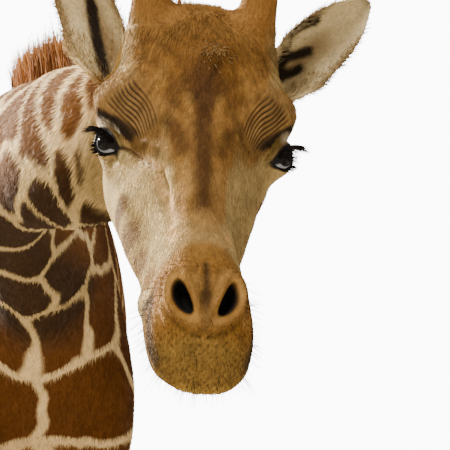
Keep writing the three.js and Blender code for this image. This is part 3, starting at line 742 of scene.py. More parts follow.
def patch_share(places):
    """1 inside a patch and 0 in the pale net."""
    at = coat_place(places)
    away = np.linalg.norm(nearest_four(at) - at[:, None, :], axis=2)
    away.sort(axis=1)
    start, end = (net_width(places) * edge for edge in NET_EDGE)
    return ramp(away[:, 1] - away[:, 0], start, end)


def mixed(first, second, share):
    return first + (second - first) * np.asarray(share)[:, None]


def body_colours(places):
    """The colours of the net and of the patches at each place of the neck, trunk and legs, with painted
    shade under the neck.
    """
    on_neck = ramp(-places[:, 1], -0.05, 0.35)
    front = ramp(places[:, 1], 0.45, 0.2)
    low = ramp(places[:, 2], 1.5, 1.0)
    foot = ramp(places[:, 2], 0.75, 0.35)
    side = np.abs(places[:, 0] - body_middle)
    belly = ramp(places[:, 2], 1.86, 1.72) * ramp(side, 0.26, 0.14) * ramp(places[:, 1], 0.3, 0.5)
    belly *= ramp(places[:, 2], 1.0, 1.4)
    net = mixed(mixed(FLANK_NET, CHEST_NET, front), NECK_NET, on_neck)
    patch = mixed(mixed(FLANK_PATCH, CHEST_PATCH, front), NECK_PATCH, on_neck)
    # Painted shade darkens the net and the patches under the neck and at the throat.
    under = ramp(places[:, 2], 2.30, 2.17) * ramp(-places[:, 1], 0.0, 0.2)
    net = mixed(net, SHADED_THROAT_NET, 0.7 * under)
    patch = mixed(patch, SHADED_THROAT_PATCH, 0.9 * under)
    net, patch = mixed(net, LEG_NET, low), mixed(patch, LEG_PATCH, low)
    patch = mixed(patch, LEG_NET, 0.9 * foot)
    return mixed(net, BELLY, belly), mixed(patch, BELLY, 0.8 * belly)


FACE_BASE = shade(168, 143, 94)
# Paint on the face, folded onto the left half: a line of places, how wide and soft the stroke
# is, in mm, how strong it is, and its colour.
FACE_PAINT = [
    ([(88, -150, -80), (70, -40, -110), (60, 80, -105)], 34, 22, 0.6, shade(150, 122, 78)),
    ([(0, -150, 110), (0, -70, 112)], 96, 16, 0.9, shade(152, 112, 60)),
    ([(0, -80, 118), (0, -20, 108)], 92, 14, 0.85, shade(122, 84, 38)),
    ([(0, -20, 108), (0, 30, 97)], 70, 14, 0.9, shade(118, 80, 34)),
    ([(0, 30, 97), (0, 90, 80)], 50, 14, 0.9, shade(120, 82, 36)),
    ([(0, 90, 80), (0, 185, 55)], 36, 10, 0.85, shade(146, 106, 56)),
    ([(0, 185, 55), (0, 225, 48)], 17, 12, 0.8, shade(122, 88, 44)),
    ([(2, -30, 114), (4, 14, 103)], 20, 14, 0.75, shade(72, 46, 20)),
    ([(-2, -36, 114), (-2, 20, 102), (0, 90, 80), (-4, 200, 52)], 11, 12, 0.9, shade(70, 44, 19)),
    ([(96, 62, 30), (62, 110, 46), (48, 150, 36), (42, 190, 33), (36, 236, 31)],
     8, 6, 0.9, shade(196, 158, 106)),
    ([(0, 236, 44), (0, 285, 44)], 30, 16, 0.6, shade(160, 124, 74)),
    ([(0, 348, 24), (0, 400, -16), (0, 396, -60)], 70, 14, 1.0, shade(126, 84, 36)),
    ([(0, 330, 20), (0, 372, -40)], 74, 12, 0.9, shade(136, 96, 44)),
    ([(0, 385, 8), (0, 402, -40)], 44, 22, 0.6, shade(128, 90, 34)),
    ([(0, 372, -64), (0, 330, -110)], 66, 16, 0.85, shade(126, 98, 50)),
    ([(30, 316, 42), (46, 330, 28), (50, 350, 8)], 8, 6, 0.8, shade(164, 122, 66)),
    ([(12, 320, 42), (9, 345, 34), (14, 366, 20)], 5, 5, 0.7, shade(156, 116, 62)),
    ([(-3, 300, 46), (-3, 325, 42), (-4, 362, 22)], 6, 6, 0.9, shade(62, 42, 19)),
    ([(-3, 342, 34), (-4, 368, 18)], 9, 6, 0.85, shade(62, 42, 19)),
    ([(64, 306, 4), (62, 340, -16), (56, 372, -34)], 9, 10, 0.85, shade(66, 50, 32)),
    ([(66, 296, -36), (66, 304, -10)], 10, 8, 0.85, shade(64, 48, 32)),
    ([(50, 382, -60), (0, 404, -62)], 9, 9, 0.5, shade(176, 140, 66)),
    # Painted shade along each tear groove.
    ([(103, 33, 19), (93, 49, 25), (80, 68, 28), (66, 94, 36)], 3.6, 2.4, 0.9, shade(62, 42, 20)),
    ([(66, 94, 36), (53, 122, 40), (49, 140, 35)], 3.0, 4.0, 0.5, shade(92, 66, 34)),
    ([(120, -22, 62), (92, 12, 70), (70, 50, 66)], 40, 12, 0.85, shade(136, 100, 54)),
    ([(134, -10, 44), (122, 6, 44), (112, 17, 46), (100, 30, 45), (90, 42, 44)],
     9, 4.5, 0.97, shade(28, 19, 10)),
    ([(84, 50, 42), (74, 64, 44)], 5, 6, 0.6, shade(76, 54, 24)),
    ([(84, 54, 38), (71, 57, 54), (60, 54, 68), (50, 46, 80)], 9, 9, 0.9, shade(106, 76, 36)),
    ([(42, 66, 80), (32, 84, 77), (26, 104, 72)], 9, 9, 0.75, shade(78, 50, 21)),
    ([(52, 62, 74), (49, 82, 67), (45, 98, 62), (46, 116, 55)], 4, 5, 0.5, shade(160, 126, 76)),
    ([(60, 70, 62), (58, 98, 50)], 5, 6, 0.6, shade(98, 70, 34)),
    ([(24, 128, 66), (22, 176, 56)], 4, 6, 0.6, shade(172, 134, 80)),
    ([(34, -10, 106), (44, 30, 96)], 9, 9, 0.6, shade(84, 56, 24)),
    ([(52, -40, 108), (60, -10, 100)], 10, 9, 0.55, shade(142, 106, 56)),
    ([(22, 20, 100), (20, 56, 90)], 5, 6, 0.5, shade(150, 112, 60)),
    ([(90, 146, -60), (80, 158, -28)], 15, 8, 0.8, shade(98, 68, 34)),
    ([(76, 192, -52), (66, 202, -36)], 13, 8, 0.8, shade(108, 78, 40)),
    ([(104, 104, -70), (97, 114, -16)], 12, 8, 0.85, shade(92, 62, 30)),
    ([(90, 96, -28)], 9, 8, 0.5, shade(146, 112, 66)),
    ([(62, 248, -30), (58, 262, -14)], 12, 7, 0.75, shade(130, 94, 50)),
    ([(98, 40, -64)], 14, 6, 0.8, shade(112, 80, 42)),
    ([(100, -30, -66), (100, -36, -92)], 16, 6, 0.85, shade(112, 78, 40)),
    ([(104, -88, -40), (100, -100, -66)], 16, 6, 0.85, shade(112, 78, 40)),
    ([(86, 10, -104), (84, -16, -112)], 15, 6, 0.85, shade(112, 78, 40)),
    ([(84, 84, -96), (76, 104, -100)], 12, 6, 0.8, shade(120, 86, 46)),
    ([(98, -80, -108)], 17, 6, 0.85, shade(110, 76, 38)),
    # Painted shade along the crease of the mouth.
    ([(62, 236, -66), (58, 300, -68), (50, 352, -70), (34, 384, -69), (0, 397, -68)],
     2.6, 2.4, 0.9, shade(40, 28, 18)),
]
# Black streaks inside the ears, each ear its own: a line of places, in mm, how wide and soft.
EAR_STREAKS = [
    ([(-134, -180, -2), (-139, -198, 8), (-150, -226, 28), (-160, -251, 53), (-166, -271, 77)], 10.0, 4.0),
    ([(-166, -271, 77), (-174, -280, 96)], 9.0, 5.0),
    ([(140, -215, 96), (161, -231, 104), (186, -247, 109)], 11.0, 4.0),
    ([(136, -212, 50), (147, -224, 52), (166, -232, 55), (184, -237, 61)], 8.5, 3.5),
    ([(132, -205, 22), (144, -212, 25), (158, -216, 29), (172, -221, 36)], 8.0, 3.5),
    ([(142, -222, 98), (144, -222, 52), (138, -207, 22)], 9.0, 4.0),
]
EAR_INNER = shade(216, 196, 152)
EAR_DARK = shade(34, 26, 17)
EAR_BACK = shade(120, 90, 52)
KNOB_SIDE = shade(146, 104, 54)
KNOB_TIP = shade(36, 27, 20)
BROW_BUMP_TOP = [10, -60, 124]
WRINKLE_RIDGE = shade(150, 112, 62)
# Painted shade for the bottoms of the furrows over the brows.
FURROW_VALLEY_SHADE = shade(38, 22, 9)
LID_SKIN = shade(24, 17, 12)
LID_PALE = shade(206, 190, 160)
LID_OLIVE = shade(104, 84, 42)
NOSTRIL_RIM = shade(138, 102, 56)
# Painted shade for the groove round each nostril and for deep inside its slit.
NOSTRIL_FOLD_SHADE = shade(70, 48, 22)
NOSTRIL_PIT_SHADE = shade(10, 7, 6)
EAR_SIDE = 112
EAR_FAR = 0.6


def ear_gaps(places):
    """For each ear: how far off its spine a place is, and how far up it, in mm."""
    spot = to_head(places) * MM
    found = {}
    for word in SIDES:
        root = EAR_ROOT * [SIDES[word], 1, 1] * MM
        tip = root + ear_axes(word)[0] * EAR_LENGTH * MM
        run = tip - root
        up = np.clip((spot - root) @ run / (run @ run), 0, 1.1)
        gap = np.linalg.norm(spot - root - up[:, None] * run, axis=1)
        found[word] = (gap, up, spot - root)
    return found


def mottle(spot):
    """Slow uneven light and dark over the head, from about -1 to 1."""
    x, y, z = spot.T
    slow = np.sin(0.19 * x + 1.7 * np.sin(0.045 * y))
    slow *= np.sin(0.13 * y + 1.3 * np.sin(0.07 * x + 0.05 * z))
    quick = np.sin(0.41 * x - 0.2 * z + 0.9 * np.sin(0.11 * y)) * np.sin(0.33 * y + 0.3 * z)
    return 0.6 * slow + 0.5 * quick


def face_colours(places):
    """The colours of the hair and bare skin of the head, with the share of bare skin."""
    spot, fold = folded_spot(places)
    colour = np.repeat(FACE_BASE[None, :], len(spot), axis=0)
    for line, wide, soft, strength, paint in FACE_PAINT:
        if len(line) == 1:
            gap = np.linalg.norm(fold - line[0], axis=1)
        else:
            gap = line_gap(fold, line)
        colour = mixed(colour, paint, strength * ramp(gap, wide + soft, wide - soft * 0.5))
    rough = 0.20 + 0.12 * ramp(fold[:, 2], 55, 80) * ramp(fold[:, 1], 110, 60)
    colour = colour * (1 + rough * mottle(spot))[:, None]
    out, high, wide, reach = lid_angle(places)
    round_eye = ramp(reach, 48, 40)
    lid = mixed(np.repeat([LID_PALE], len(spot), axis=0), LID_OLIVE, ramp(wide, -0.5, 0.3))
    colour = mixed(colour, lid, 0.9 * bell(out - 1.8, 0.3) * round_eye * ramp(high, -0.4, 0.5))
    rim = ramp(out, 1.45, 1.2) * round_eye * ramp(high, -0.3, 0.3)
    rim = np.maximum(rim, ramp(out, 1.28, 1.08) * round_eye)
    corner = ramp(wide, 0.72, 0.95) * ramp(out, 1.45, 1.1) * round_eye
    bare = np.maximum(rim, corner)
    colour = mixed(colour, LID_SKIN, bare)
    valley, wrinkled = furrows(fold)
    # The furrows take a little of the ridge colour. Painted shade then darkens them all over, most deeply
    # in their valleys.
    colour = mixed(colour, WRINKLE_RIDGE, 0.2 * wrinkled) * (1 - 0.22 * wrinkled)[:, None]
    colour = mixed(colour, FURROW_VALLEY_SHADE, valley**1.2)
    dots = np.cos(0.74 * spot[:, 0] + 0.5 * np.sin(0.2 * spot[:, 2]))
    dots *= np.cos(0.7 * spot[:, 2] - 0.3 * spot[:, 1])
    on_muzzle = ramp(fold[:, 1], 335, 362) * ramp(fold[:, 2], 18, 4)
    colour *= (1 - 0.65 * ramp(dots, 0.5, 0.9) * on_muzzle)[:, None]
    edge, on_nose = slit(fold)
    colour = mixed(colour, NOSTRIL_RIM, 0.6 * bell(edge - 1.6, 0.3) * on_nose)
    # Painted shade in the groove round each nostril and deep inside its slit.
    colour = mixed(colour, NOSTRIL_FOLD_SHADE, 0.4 * bell(edge - 2.35, 0.25) * on_nose)
    colour = mixed(colour, NOSTRIL_PIT_SHADE, ramp(edge, 1.12, 0.82) * on_nose)
    up, aside = along_knob(places)
    on_knob = ramp(up / OSSICONE_LENGTH, 0.05, 0.3) * ramp(aside, 0.06, 0.045)
    colour = mixed(colour, KNOB_SIDE, on_knob)
    colour = mixed(colour, KNOB_TIP, ramp(up / OSSICONE_LENGTH, 0.72, 0.86) * on_knob)
    bump_gap = np.linalg.norm(spot - BROW_BUMP_TOP, axis=1)
    colour = mixed(colour, KNOB_TIP, 0.75 * bell(bump_gap, 9))
    return colour, bare


def ear_rim(word, up, away):
    """How far a place is from the ear's spine towards its rim, 1 at the rim."""
    across = ear_axes(word)[1]
    return np.abs(away @ across) / MM / (EAR_HALF_WIDTH * np.sqrt(np.clip(1.02 - up**3, 0.02, 1)))


def ear_colours(places):
    """The colours of both ears with the share of a place that lies on them."""
    colour = np.repeat(EAR_BACK[None, :], len(places), axis=0)
    share = np.zeros(len(places))
    for word, (gap, up, away) in ear_gaps(places).items():
        facing = ear_axes(word)[2]
        front = ramp(away @ facing / MM, -0.020, -0.008) * ramp(up, 0.02, 0.12)
        near = ramp(gap, 64, 54)
        paint = mixed(EAR_BACK, EAR_INNER, front * ramp(ear_rim(word, up, away), 1.0, 0.75))
        paint = mixed(paint, EAR_DARK, 0.7 * ramp(up, 0.86, 0.99))
        colour = np.where((near > share)[:, None], paint, colour)
        share = np.maximum(share, near)
    spot = to_head(places) * MM
    for line, wide, soft in EAR_STREAKS:
        colour = mixed(colour, EAR_DARK, ramp(line_gap(spot, line), wide + soft, wide - soft))
    share = share * (np.abs(spot[:, 0]) > EAR_SIDE) * (from_head_centre(places) < EAR_FAR)
    return colour, share


def knob_share(places):
    """1 on the ossicones, 0 off them."""
    up, aside = along_knob(places)
    return ramp(up, 0.012, 0.04) * ramp(aside, 0.060, 0.048)


def coat_colours(places):
    """Net colour, patch colour and bare share at each place of the whole skin."""
    net, patch = body_colours(places)
    face, bare = face_colours(places)
    ears, on_ear = ear_colours(places)
    distance = from_head_centre(places)
    in_face = ramp(distance, 0.345, 0.295)
    spot = to_head(places)
    knobs = (spot[:, 2] > 0.10) & (distance < 0.5)
    muzzle = (spot[:, 1] > 0.16) & (distance < 0.5)
    in_face = np.maximum(np.maximum(in_face, knobs | muzzle), on_ear)
    face = mixed(face, ears, on_ear)
    bare = bare * in_face * (1 - on_ear)
    return mixed(net, face, in_face), mixed(patch, face, in_face), bare


def store(item, name, kind, domain, values):
    made = item.data.attributes.new(name, kind, domain)
    if kind == "FLOAT_COLOR":
        values = np.column_stack([values, np.ones(len(values))])
    field = {"FLOAT": "value", "FLOAT_VECTOR": "vector", "FLOAT_COLOR": "color"}[kind]
    made.data.foreach_set(field, np.ascontiguousarray(values, dtype=np.float32).ravel())


skin_points = places_of(skin)
skin_normals = normals_of(skin)
skin.data.calc_loop_triangles()
skin_triangles = np.empty(len(skin.data.loop_triangles) * 3, dtype=np.int64)
skin.data.loop_triangles.foreach_get("vertices", skin_triangles)
skin_triangles = skin_triangles.reshape(-1, 3)
seeds = scattered(skin_points[from_head_centre(skin_points) > 0.25])
middles = np.empty(len(skin.data.polygons) * 3)
skin.data.polygons.foreach_get("center", middles)
for number, row in enumerate(np.moveaxis(nearest_four(coat_place(middles.reshape(-1, 3))), 1, 0)):
    store(skin, f"patch_{number}", "FLOAT_VECTOR", "FACE", row)
net, patch, bare = coat_colours(skin_points)
store(skin, "coat_place", "FLOAT_VECTOR", "POINT", coat_place(skin_points))
store(skin, "net_width", "FLOAT", "POINT", net_width(skin_points))
store(skin, "net", "FLOAT_COLOR", "POINT", net)
store(skin, "patch", "FLOAT_COLOR", "POINT", patch)
store(skin, "bare", "FLOAT", "POINT", bare)

# ------------------------------------------------------------------ the hide's finish
# The skin shows between the tufts and bare at the lids and nostrils. It draws the net sharply
# from the four patch middles nearest each face, with fine grain and the nap of short hair.


def add(tree, kind, inputs, **settings):
    """A node with its settings made and its inputs set or joined, by name or number."""
    made = tree.nodes.new("ShaderNode" + kind)
    for name, value in settings.items():
        setattr(made, name, value)
    for place, value in inputs.items():
        if isinstance(value, bpy.types.NodeSocket):
            tree.links.new(value, made.inputs[place])
        else:
            made.inputs[place].default_value = value
    return made.outputs


def plain_material(name, colour, rough, **more):
    made = bpy.data.materials.new(name)
    made.use_nodes = True
    surface = made.node_tree.nodes["Principled BSDF"]
    surface.inputs["Base Color"].default_value = (*colour, 1)
    surface.inputs["Roughness"].default_value = rough
    for place, value in more.items():
        surface.inputs[place.replace("_", " ")].default_value = value
    made.diffuse_color = (*colour, 1)
    return made, made.node_tree, surface


def read(tree, name, output="Color"):
    return add(tree, "Attribute", {}, attribute_name=name)[output]


def reckon(tree, word, first, second=0.0):
    return add(tree, "Math", {0: first, 1: second}, operation=word)[0]


def grain(tree, scale, detail=2.0, stretch=(1, 1, 1)):
    """Noise in the piece's own place, about 0.5 in the mean."""
    own = add(tree, "TexCoord", {})["Object"]
    place = add(tree, "VectorMath", {0: own, 1: stretch}, operation="MULTIPLY")[0]
    return add(tree, "TexNoise", {"Vector": place, "Scale": scale, "Detail": detail})["Fac"]


def tinted(tree, colour, amount, low, high):
    """A colour made lighter and darker by a noise between low and high."""
    span = {"From Min": 0.25, "From Max": 0.75, "To Min": low, "To Max": high}
    factor = add(tree, "MapRange", {"Value": amount, **span})[0]
    return add(tree, "VectorMath", {0: colour, 3: factor}, operation="SCALE")[0]


def bumped(tree, height, strength, distance, under=None):
    """A normal raised by a height, over another one if there is one."""
    inputs = {"Strength": strength, "Distance": distance, "Height": height}
    if under is not None:
        inputs["Normal"] = under
    return add(tree, "Bump", inputs)["Normal"]


hide, tree, surface = plain_material("hide", shade(120, 84, 42), 0.85, Specular_IOR_Level=0.14)
place = read(tree, "coat_place", "Vector")
gaps = []
for number in range(4):
    middle = read(tree, f"patch_{number}", "Vector")
    gaps.append(add(tree, "VectorMath", {0: place, 1: middle}, operation="DISTANCE")["Value"])
lows = [reckon(tree, "MINIMUM", *pair) for pair in (gaps[:2], gaps[2:])]
highs = [reckon(tree, "MAXIMUM", *pair) for pair in (gaps[:2], gaps[2:])]
nearest = reckon(tree, "MINIMUM", *lows)
rest = reckon(tree, "MAXIMUM", *lows)
second = reckon(tree, "MINIMUM", rest, reckon(tree, "MINIMUM", *highs))
gap = reckon(tree, "SUBTRACT", second, nearest)
ragged = reckon(tree, "MULTIPLY", reckon(tree, "SUBTRACT", grain(tree, 60), 0.5), 0.014)
gap = reckon(tree, "ADD", gap, ragged)
wide = read(tree, "net_width", "Fac")
start, end = (reckon(tree, "MULTIPLY", wide, edge) for edge in NET_EDGE)
turning = {"Value": gap, "From Min": start, "From Max": end}
mask = add(tree, "MapRange", turning, interpolation_type="SMOOTHSTEP")[0]
colour = add(tree, "Mix", {0: mask, 6: read(tree, "net"), 7: read(tree, "patch")}, data_type="RGBA")[2]
colour = tinted(tree, colour, grain(tree, 9), 0.86, 1.14)
colour = tinted(tree, colour, grain(tree, 260, 3), 0.78, 1.16)
tree.links.new(colour, surface.inputs["Base Color"])
bare_share = read(tree, "bare", "Fac")
rough = add(tree, "MapRange", {"Value": bare_share, "To Min": 0.8, "To Max": 0.42})[0]
tree.links.new(rough, surface.inputs["Roughness"])
fine = bumped(tree, grain(tree, 420, 2), 0.5, 0.0016)
tree.links.new(bumped(tree, grain(tree, 48, 3), 0.5, 0.005, fine), surface.inputs["Normal"])
skin.data.materials.clear()
skin.data.materials.append(hide)
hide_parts(*FLESH, *[f"{part}_{word}" for part in ("ossicone", "ear") for word in SIDES], "tail")
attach(skin, "root")

# ------------------------------------------------------------------ eyes
# Each wet ball is dark brown with a level pupil, and a pale crescent shows under the iris. It
# sits behind the lids' opening, and the cornea stands a little proud of it.
EYE_RADIUS = 0.025
EYE_SEGMENTS = 96
EYE_RINGS = 64
IRIS_HALF = math.radians(43)
CORNEA_RISE = 0.0011
PUPIL_HALF_WIDTH = 0.46
PUPIL_HALF_HEIGHT = 0.24
EYE_BROWN = shade(16, 10, 6)
IRIS_EDGE = shade(34, 19, 10)
PUPIL = shade(4, 3, 4)
EYE_RIM = shade(10, 7, 6)
EYE_WHITE = shade(168, 172, 178)

wet, tree, surface = plain_material("wet_eye", shade(20, 12, 8), 0.06, Specular_IOR_Level=0.13)
tree.links.new(read(tree, "eye_colour"), surface.inputs["Base Color"])


def eye_ball(word):
    deselect_all()
    bpy.ops.mesh.primitive_uv_sphere_add(segments=EYE_SEGMENTS, ring_count=EYE_RINGS, radius=EYE_RADIUS)
    ball = bpy.context.object
    ball.name = f"ball_{word}"
    mirror = np.array([SIDES[word], 1, 1])
    ahead, along, above = (unit(head_direction(axis * mirror)) for axis in (GAZE, FISSURE, LID_UP))
    points = places_of(ball)
    points = points[:, :1] * along + points[:, 1:2] * above + points[:, 2:] * ahead
    turn = np.arccos(np.clip(points @ ahead / EYE_RADIUS, -1, 1))
    sides, heights = points @ along / EYE_RADIUS, (points @ above) / EYE_RADIUS
    bulge = CORNEA_RISE * ramp(turn, IRIS_HALF, 0.2)
    colour = np.repeat([EYE_BROWN], len(points), axis=0)
    colour = mixed(colour, IRIS_EDGE, bell(turn - 0.5, 0.14))
    pupil = ramp(np.hypot(sides / PUPIL_HALF_WIDTH, heights / PUPIL_HALF_HEIGHT), 1.05, 0.9)
    colour = mixed(colour, PUPIL, pupil)
    off = np.hypot(sides, heights - 0.2)
    white = ramp(off, 0.59, 0.66) * ramp(heights, -0.02, -0.16)
    colour = mixed(colour, EYE_RIM, ramp(off, 0.46, 0.56))
    colour = mixed(colour, EYE_WHITE, white)
    points *= (1 + bulge / EYE_RADIUS)[:, None]
    set_places(ball, points + eye_middle[word])
    store(ball, "eye_colour", "FLOAT_COLOR", "POINT", colour)
    work = bmesh.new()
    work.from_mesh(ball.data)
    bmesh.ops.recalc_face_normals(work, faces=work.faces)
    work.to_mesh(ball.data)
    work.free()
    only(ball)
    bpy.ops.object.shade_smooth()
    ball.data.materials.append(wet)
    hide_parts(f"eye_{word}")
    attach(ball, "root")


for word in SIDES:
    eye_ball(word)

# ------------------------------------------------------------------ hooves
# Eight claws of horn: each takes the frame's shape, rounded over and ringed by its growth, and
# its sole is pressed flat where it stands.
HOOF_GRID = 0.0036
RING_STEP = 0.0072
RING_DEPTH = 0.00045
SOLE_EDGE = 0.0022

horn, tree, surface = plain_material("horn", shade(58, 48, 40), 0.5)
colour = tinted(tree, tuple(shade(60, 50, 42)), grain(tree, 30, 4, (1, 1, 3)), 0.6, 1.5)
tree.links.new(colour, surface.inputs["Base Color"])
tree.links.new(bumped(tree, grain(tree, 60, 3, (1, 1, 4)), 0.6, 0.0015), surface.inputs["Normal"])
for node in [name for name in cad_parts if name.startswith("hoof_")]:
    claw = merged_copy(node, node.replace("hoof", "claw"))
    flat_low = float(places_of(claw)[:, 2].min())
    claw.data.remesh_voxel_size = HOOF_GRID
    claw.data.remesh_voxel_adaptivity = 0
    only(claw)
    bpy.ops.object.voxel_remesh()
    places = smoothed(claw, places_of(claw), 7, 0.5, 0.52)
    set_places(claw, places)
    wall = np.clip(1 - np.abs(normals_of(claw)[:, 2]), 0, 1) * ramp(places[:, 2], 0.006, 0.016)
    groove = RING_DEPTH * (1 + np.cos(2 * math.pi * places[:, 2] / RING_STEP + 9 * places[:, 1]))
    places = places - normals_of(claw) * (groove * wall)[:, None]
    places[:, 2] = np.where(places[:, 2] < flat_low + SOLE_EDGE, flat_low, places[:, 2])
    set_places(claw, places)
    only(claw)
    bpy.ops.object.shade_smooth_by_angle(angle=math.radians(50))
    claw.data.materials.clear()
    claw.data.materials.append(horn)
    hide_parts(node)
    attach(claw, "root")

# ------------------------------------------------------------------ the coat
# Short flat hair lies over the whole hide in thin tapering tufts that follow its lie: down the
# nose, back over the cheeks, neck and trunk, and down the legs.
COAT_TUFTS = 41000
LEG_TUFTS = 40000
EAR_TUFTS = 26000
FACE_SPLIT = 0.03
PATCH_HALF = 0.0015
ROOT_LIFT = 0.0003

hair, tree, surface = plain_material("hair", shade(120, 84, 42), 0.85, Specular_IOR_Level=0.12)
colour = tinted(tree, read(tree, "hair_colour"), grain(tree, 90), 0.86, 1.14)
tree.links.new(colour, surface.inputs["Base Color"])


def skin_roots(count, weigh):
    """Chance places on the skin with their normals, spread evenly by area times a weight."""
    corners = skin_points[skin_triangles]
    area = np.linalg.norm(np.cross(corners[:, 1] - corners[:, 0], corners[:, 2] - corners[:, 0]), axis=1)
    weight = area * weigh(corners.mean(axis=1))
    picked = chance.choice(len(area), count, p=weight / weight.sum())
    share = chance.random((count, 2))
    share = np.where(share.sum(axis=1)[:, None] > 1, 1 - share, share)
    share = np.column_stack([1 - share.sum(axis=1), share])[:, :, None]
    roots = (corners[picked] * share).sum(axis=1)
    normals = (skin_normals[skin_triangles[picked]] * share).sum(axis=1)
    return roots, normals / np.linalg.norm(normals, axis=1)[:, None]


def hair_lie(places):
    """The way the hair points, before it is laid along the skin."""
    spot = to_head(places)
    distance = from_head_centre(places)
    nose = ramp(spot[:, 1], -0.17, -0.10) * 2 - 1
    cheek = ramp(spot[:, 2], 0.01, -0.03) * ramp(spot[:, 1], 0.24, 0.12)
    out = spot[:, 0] * 4
    face_way = np.stack([out, nose * (1 - 1.7 * cheek), -0.25 - 0.3 * cheek], axis=1)
    low_lip = ramp(spot[:, 1], 0.30, 0.36)
    face_way[:, 2] -= 0.5 * low_lip
    face_way = (face_way * NOSE_FORWARD) @ head_turn.T
    leg = ramp(places[:, 2], 1.62, 1.35)
    chest = ramp(places[:, 1], 0.3, 0.1) * ramp(places[:, 2], 2.2, 2.0)
    body_way = np.stack([0 * leg, 1 - 0.95 * leg - 0.7 * chest, -0.35 - 0.7 * leg - 0.6 * chest], axis=1)
    way = mixed(body_way, face_way, ramp(distance, 0.40, 0.30))
    for word, (gap, _, _) in ear_gaps(places).items():
        on_ear = ramp(gap, 62, 50) * (distance < 0.6) * (np.abs(spot[:, 0]) > 0.118)
        way = mixed(way, head_direction(ear_axes(word)[0]), on_ear)
    lean = np.where(spot[:, :1] > 0, OSSICONE_LEAN, OSSICONE_LEAN * [-1, 1, 1])
    way = mixed(way, (lean * NOSE_FORWARD) @ head_turn.T, knob_share(places))
    tail = (places[:, 1] > TAIL_SET + 0.88)
    return mixed(way, np.array([0, 0, -1.0]), tail * 1.0)


LEG_TOP_SEAM = 1.62


def bake_spot(places):
    """The place of a root on an unwrap of the body: head, trunk with neck, or one of the legs."""
    spot = to_head(places)
    head_u = np.arctan2(spot[:, 0], spot[:, 2] + 0.02) / (2 * math.pi) + 0.5
    head_v = (spot[:, 1] + 0.46) / 0.9
    x, y, z = places[:, 0] - body_middle, places[:, 1], places[:, 2]
    body_u = np.arctan2(x, z - 2.2 - 0.1 * np.clip(-y, 0, 1)) / (2 * math.pi) + 0.5
    body_v = (y + 1.45) / 3.25
    leg_x, leg_y = np.abs(x) - 0.195, y - np.where(y > 0.8, 1.3, 0.33)
    leg = (x > 0) + 2.0 * (y > 0.8)
    leg_u = (leg + np.arctan2(leg_x, leg_y) / (2 * math.pi) + 0.5) / 4
    on_head = from_head_centre(places) < 0.5
    on_leg = z < LEG_TOP_SEAM
    u = np.where(on_head, head_u, np.where(on_leg, leg_u, body_u))
    v = np.where(on_head, head_v, np.where(on_leg, z / 1.7, body_v))
    return np.clip(np.stack([u, v], axis=1), 0.004, 0.996)


def triangle_piece(name, points, triangles, colours, bake, smooth=True):
    """Hair as a mesh of triangles, with a colour and a bake place at each point."""
    data = bpy.data.meshes.new(name)
    data.vertices.add(len(points))
    data.vertices.foreach_set("co", np.ascontiguousarray(points, dtype=np.float32).ravel())
    data.loops.add(triangles.size)
    data.loops.foreach_set("vertex_index", triangles.ravel().astype(np.int32))
    data.polygons.add(len(triangles))
    data.polygons.foreach_set("loop_start", np.arange(0, triangles.size, 3, dtype=np.int32))
    data.update(calc_edges=True)
    item = bpy.data.objects.new(name, data)
    bpy.context.scene.collection.objects.link(item)
    store(item, "hair_colour", "FLOAT_COLOR", "POINT", colours)
    layer = data.uv_layers.new(name="OFBake")
    layer.data.foreach_set("uv", np.ascontiguousarray(bake[triangles.ravel()], dtype=np.float32).ravel())
    data.polygons.foreach_set("use_smooth", np.full(len(triangles), smooth))
    data.materials.append(hair)
    return item


def spikes(name, roots, normals, lengths, widths, rises, colours, swing=0.16):
    """Closed tapering tufts of four triangles each, laid along the coat."""
    count = len(roots)
    ways = hair_lie(roots)
    flow = ways - normals * (ways * normals).sum(axis=1)[:, None]
    flow /= np.maximum(np.linalg.norm(flow, axis=1), 1e-6)[:, None]
    side = np.cross(normals, flow)
    turn = chance.normal(0, swing, count)[:, None]
    flow, side = flow * np.cos(turn) + side * np.sin(turn), side * np.cos(turn) - flow * np.sin(turn)
    rises = (rises * chance.uniform(0.7, 1.3, count))[:, None]
    lengths = (lengths * chance.uniform(0.7, 1.2, count))[:, None]
    widths = (widths * chance.uniform(0.8, 1.2, count))[:, None]
    tips = roots + (flow * np.cos(rises) + normals * np.sin(rises)) * lengths
    top = roots + normals * ROOT_LIFT
    under = roots - normals * widths * 0.5
    points = np.stack([top - side * widths / 2, top + side * widths / 2, under, tips], axis=1)
    start = 4 * np.arange(count)[:, None, None]
    triangles = (start + [[0, 3, 1], [1, 3, 2], [2, 3, 0], [0, 1, 2]]).reshape(-1, 3)
    colours = colours * chance.uniform(0.70, 1.24, count)[:, None]
    tones = colours[:, None, :] * np.array([0.86, 0.86, 0.8, 1.14])[:, None]
    bake = bake_spot(roots)[:, None, :] + np.array([[-1, -1], [1, -1], [0, -1], [0, 1]]) * PATCH_HALF
    made = points.reshape(-1, 3), triangles, tones.reshape(-1, 3), bake.reshape(-1, 2)
    return triangle_piece(name, *made, smooth=False)


def root_colours(roots):
    """The colour of the markings at each root."""
    net, patch, _ = coat_colours(roots)
    return mixed(net, patch, patch_share(roots))


TEAR_GROOVE = CREASES[0][0]
CORONET = 0.062


def hair_grows(places):
    """1 where hair grows: clear of the lids' edges, the nostrils, the furrows over the eyes,
    the tear grooves and the hooves."""
    out, _, _, reach = lid_angle(places)
    lids = 1 - ramp(out, 1.5, 1.25) * (reach < 48)
    fold = folded_spot(places)[1]
    edge, on_nose = slit(fold)
    furrowed = (np.linalg.norm(fold - BROW_CENTRE, axis=1) < 66) & (furrows(fold)[1] > 0.1)
    grooved = line_gap(fold, TEAR_GROOVE) <= 2.4
    bare = face_colours(places)[1] * (from_head_centre(places) < HEAD_EDGE) * (out < 3)
    haired = ~((edge < 1.4) & on_nose) & ~furrowed & ~grooved & (places[:, 2] > CORONET)
    return lids * haired * (1 - bare)


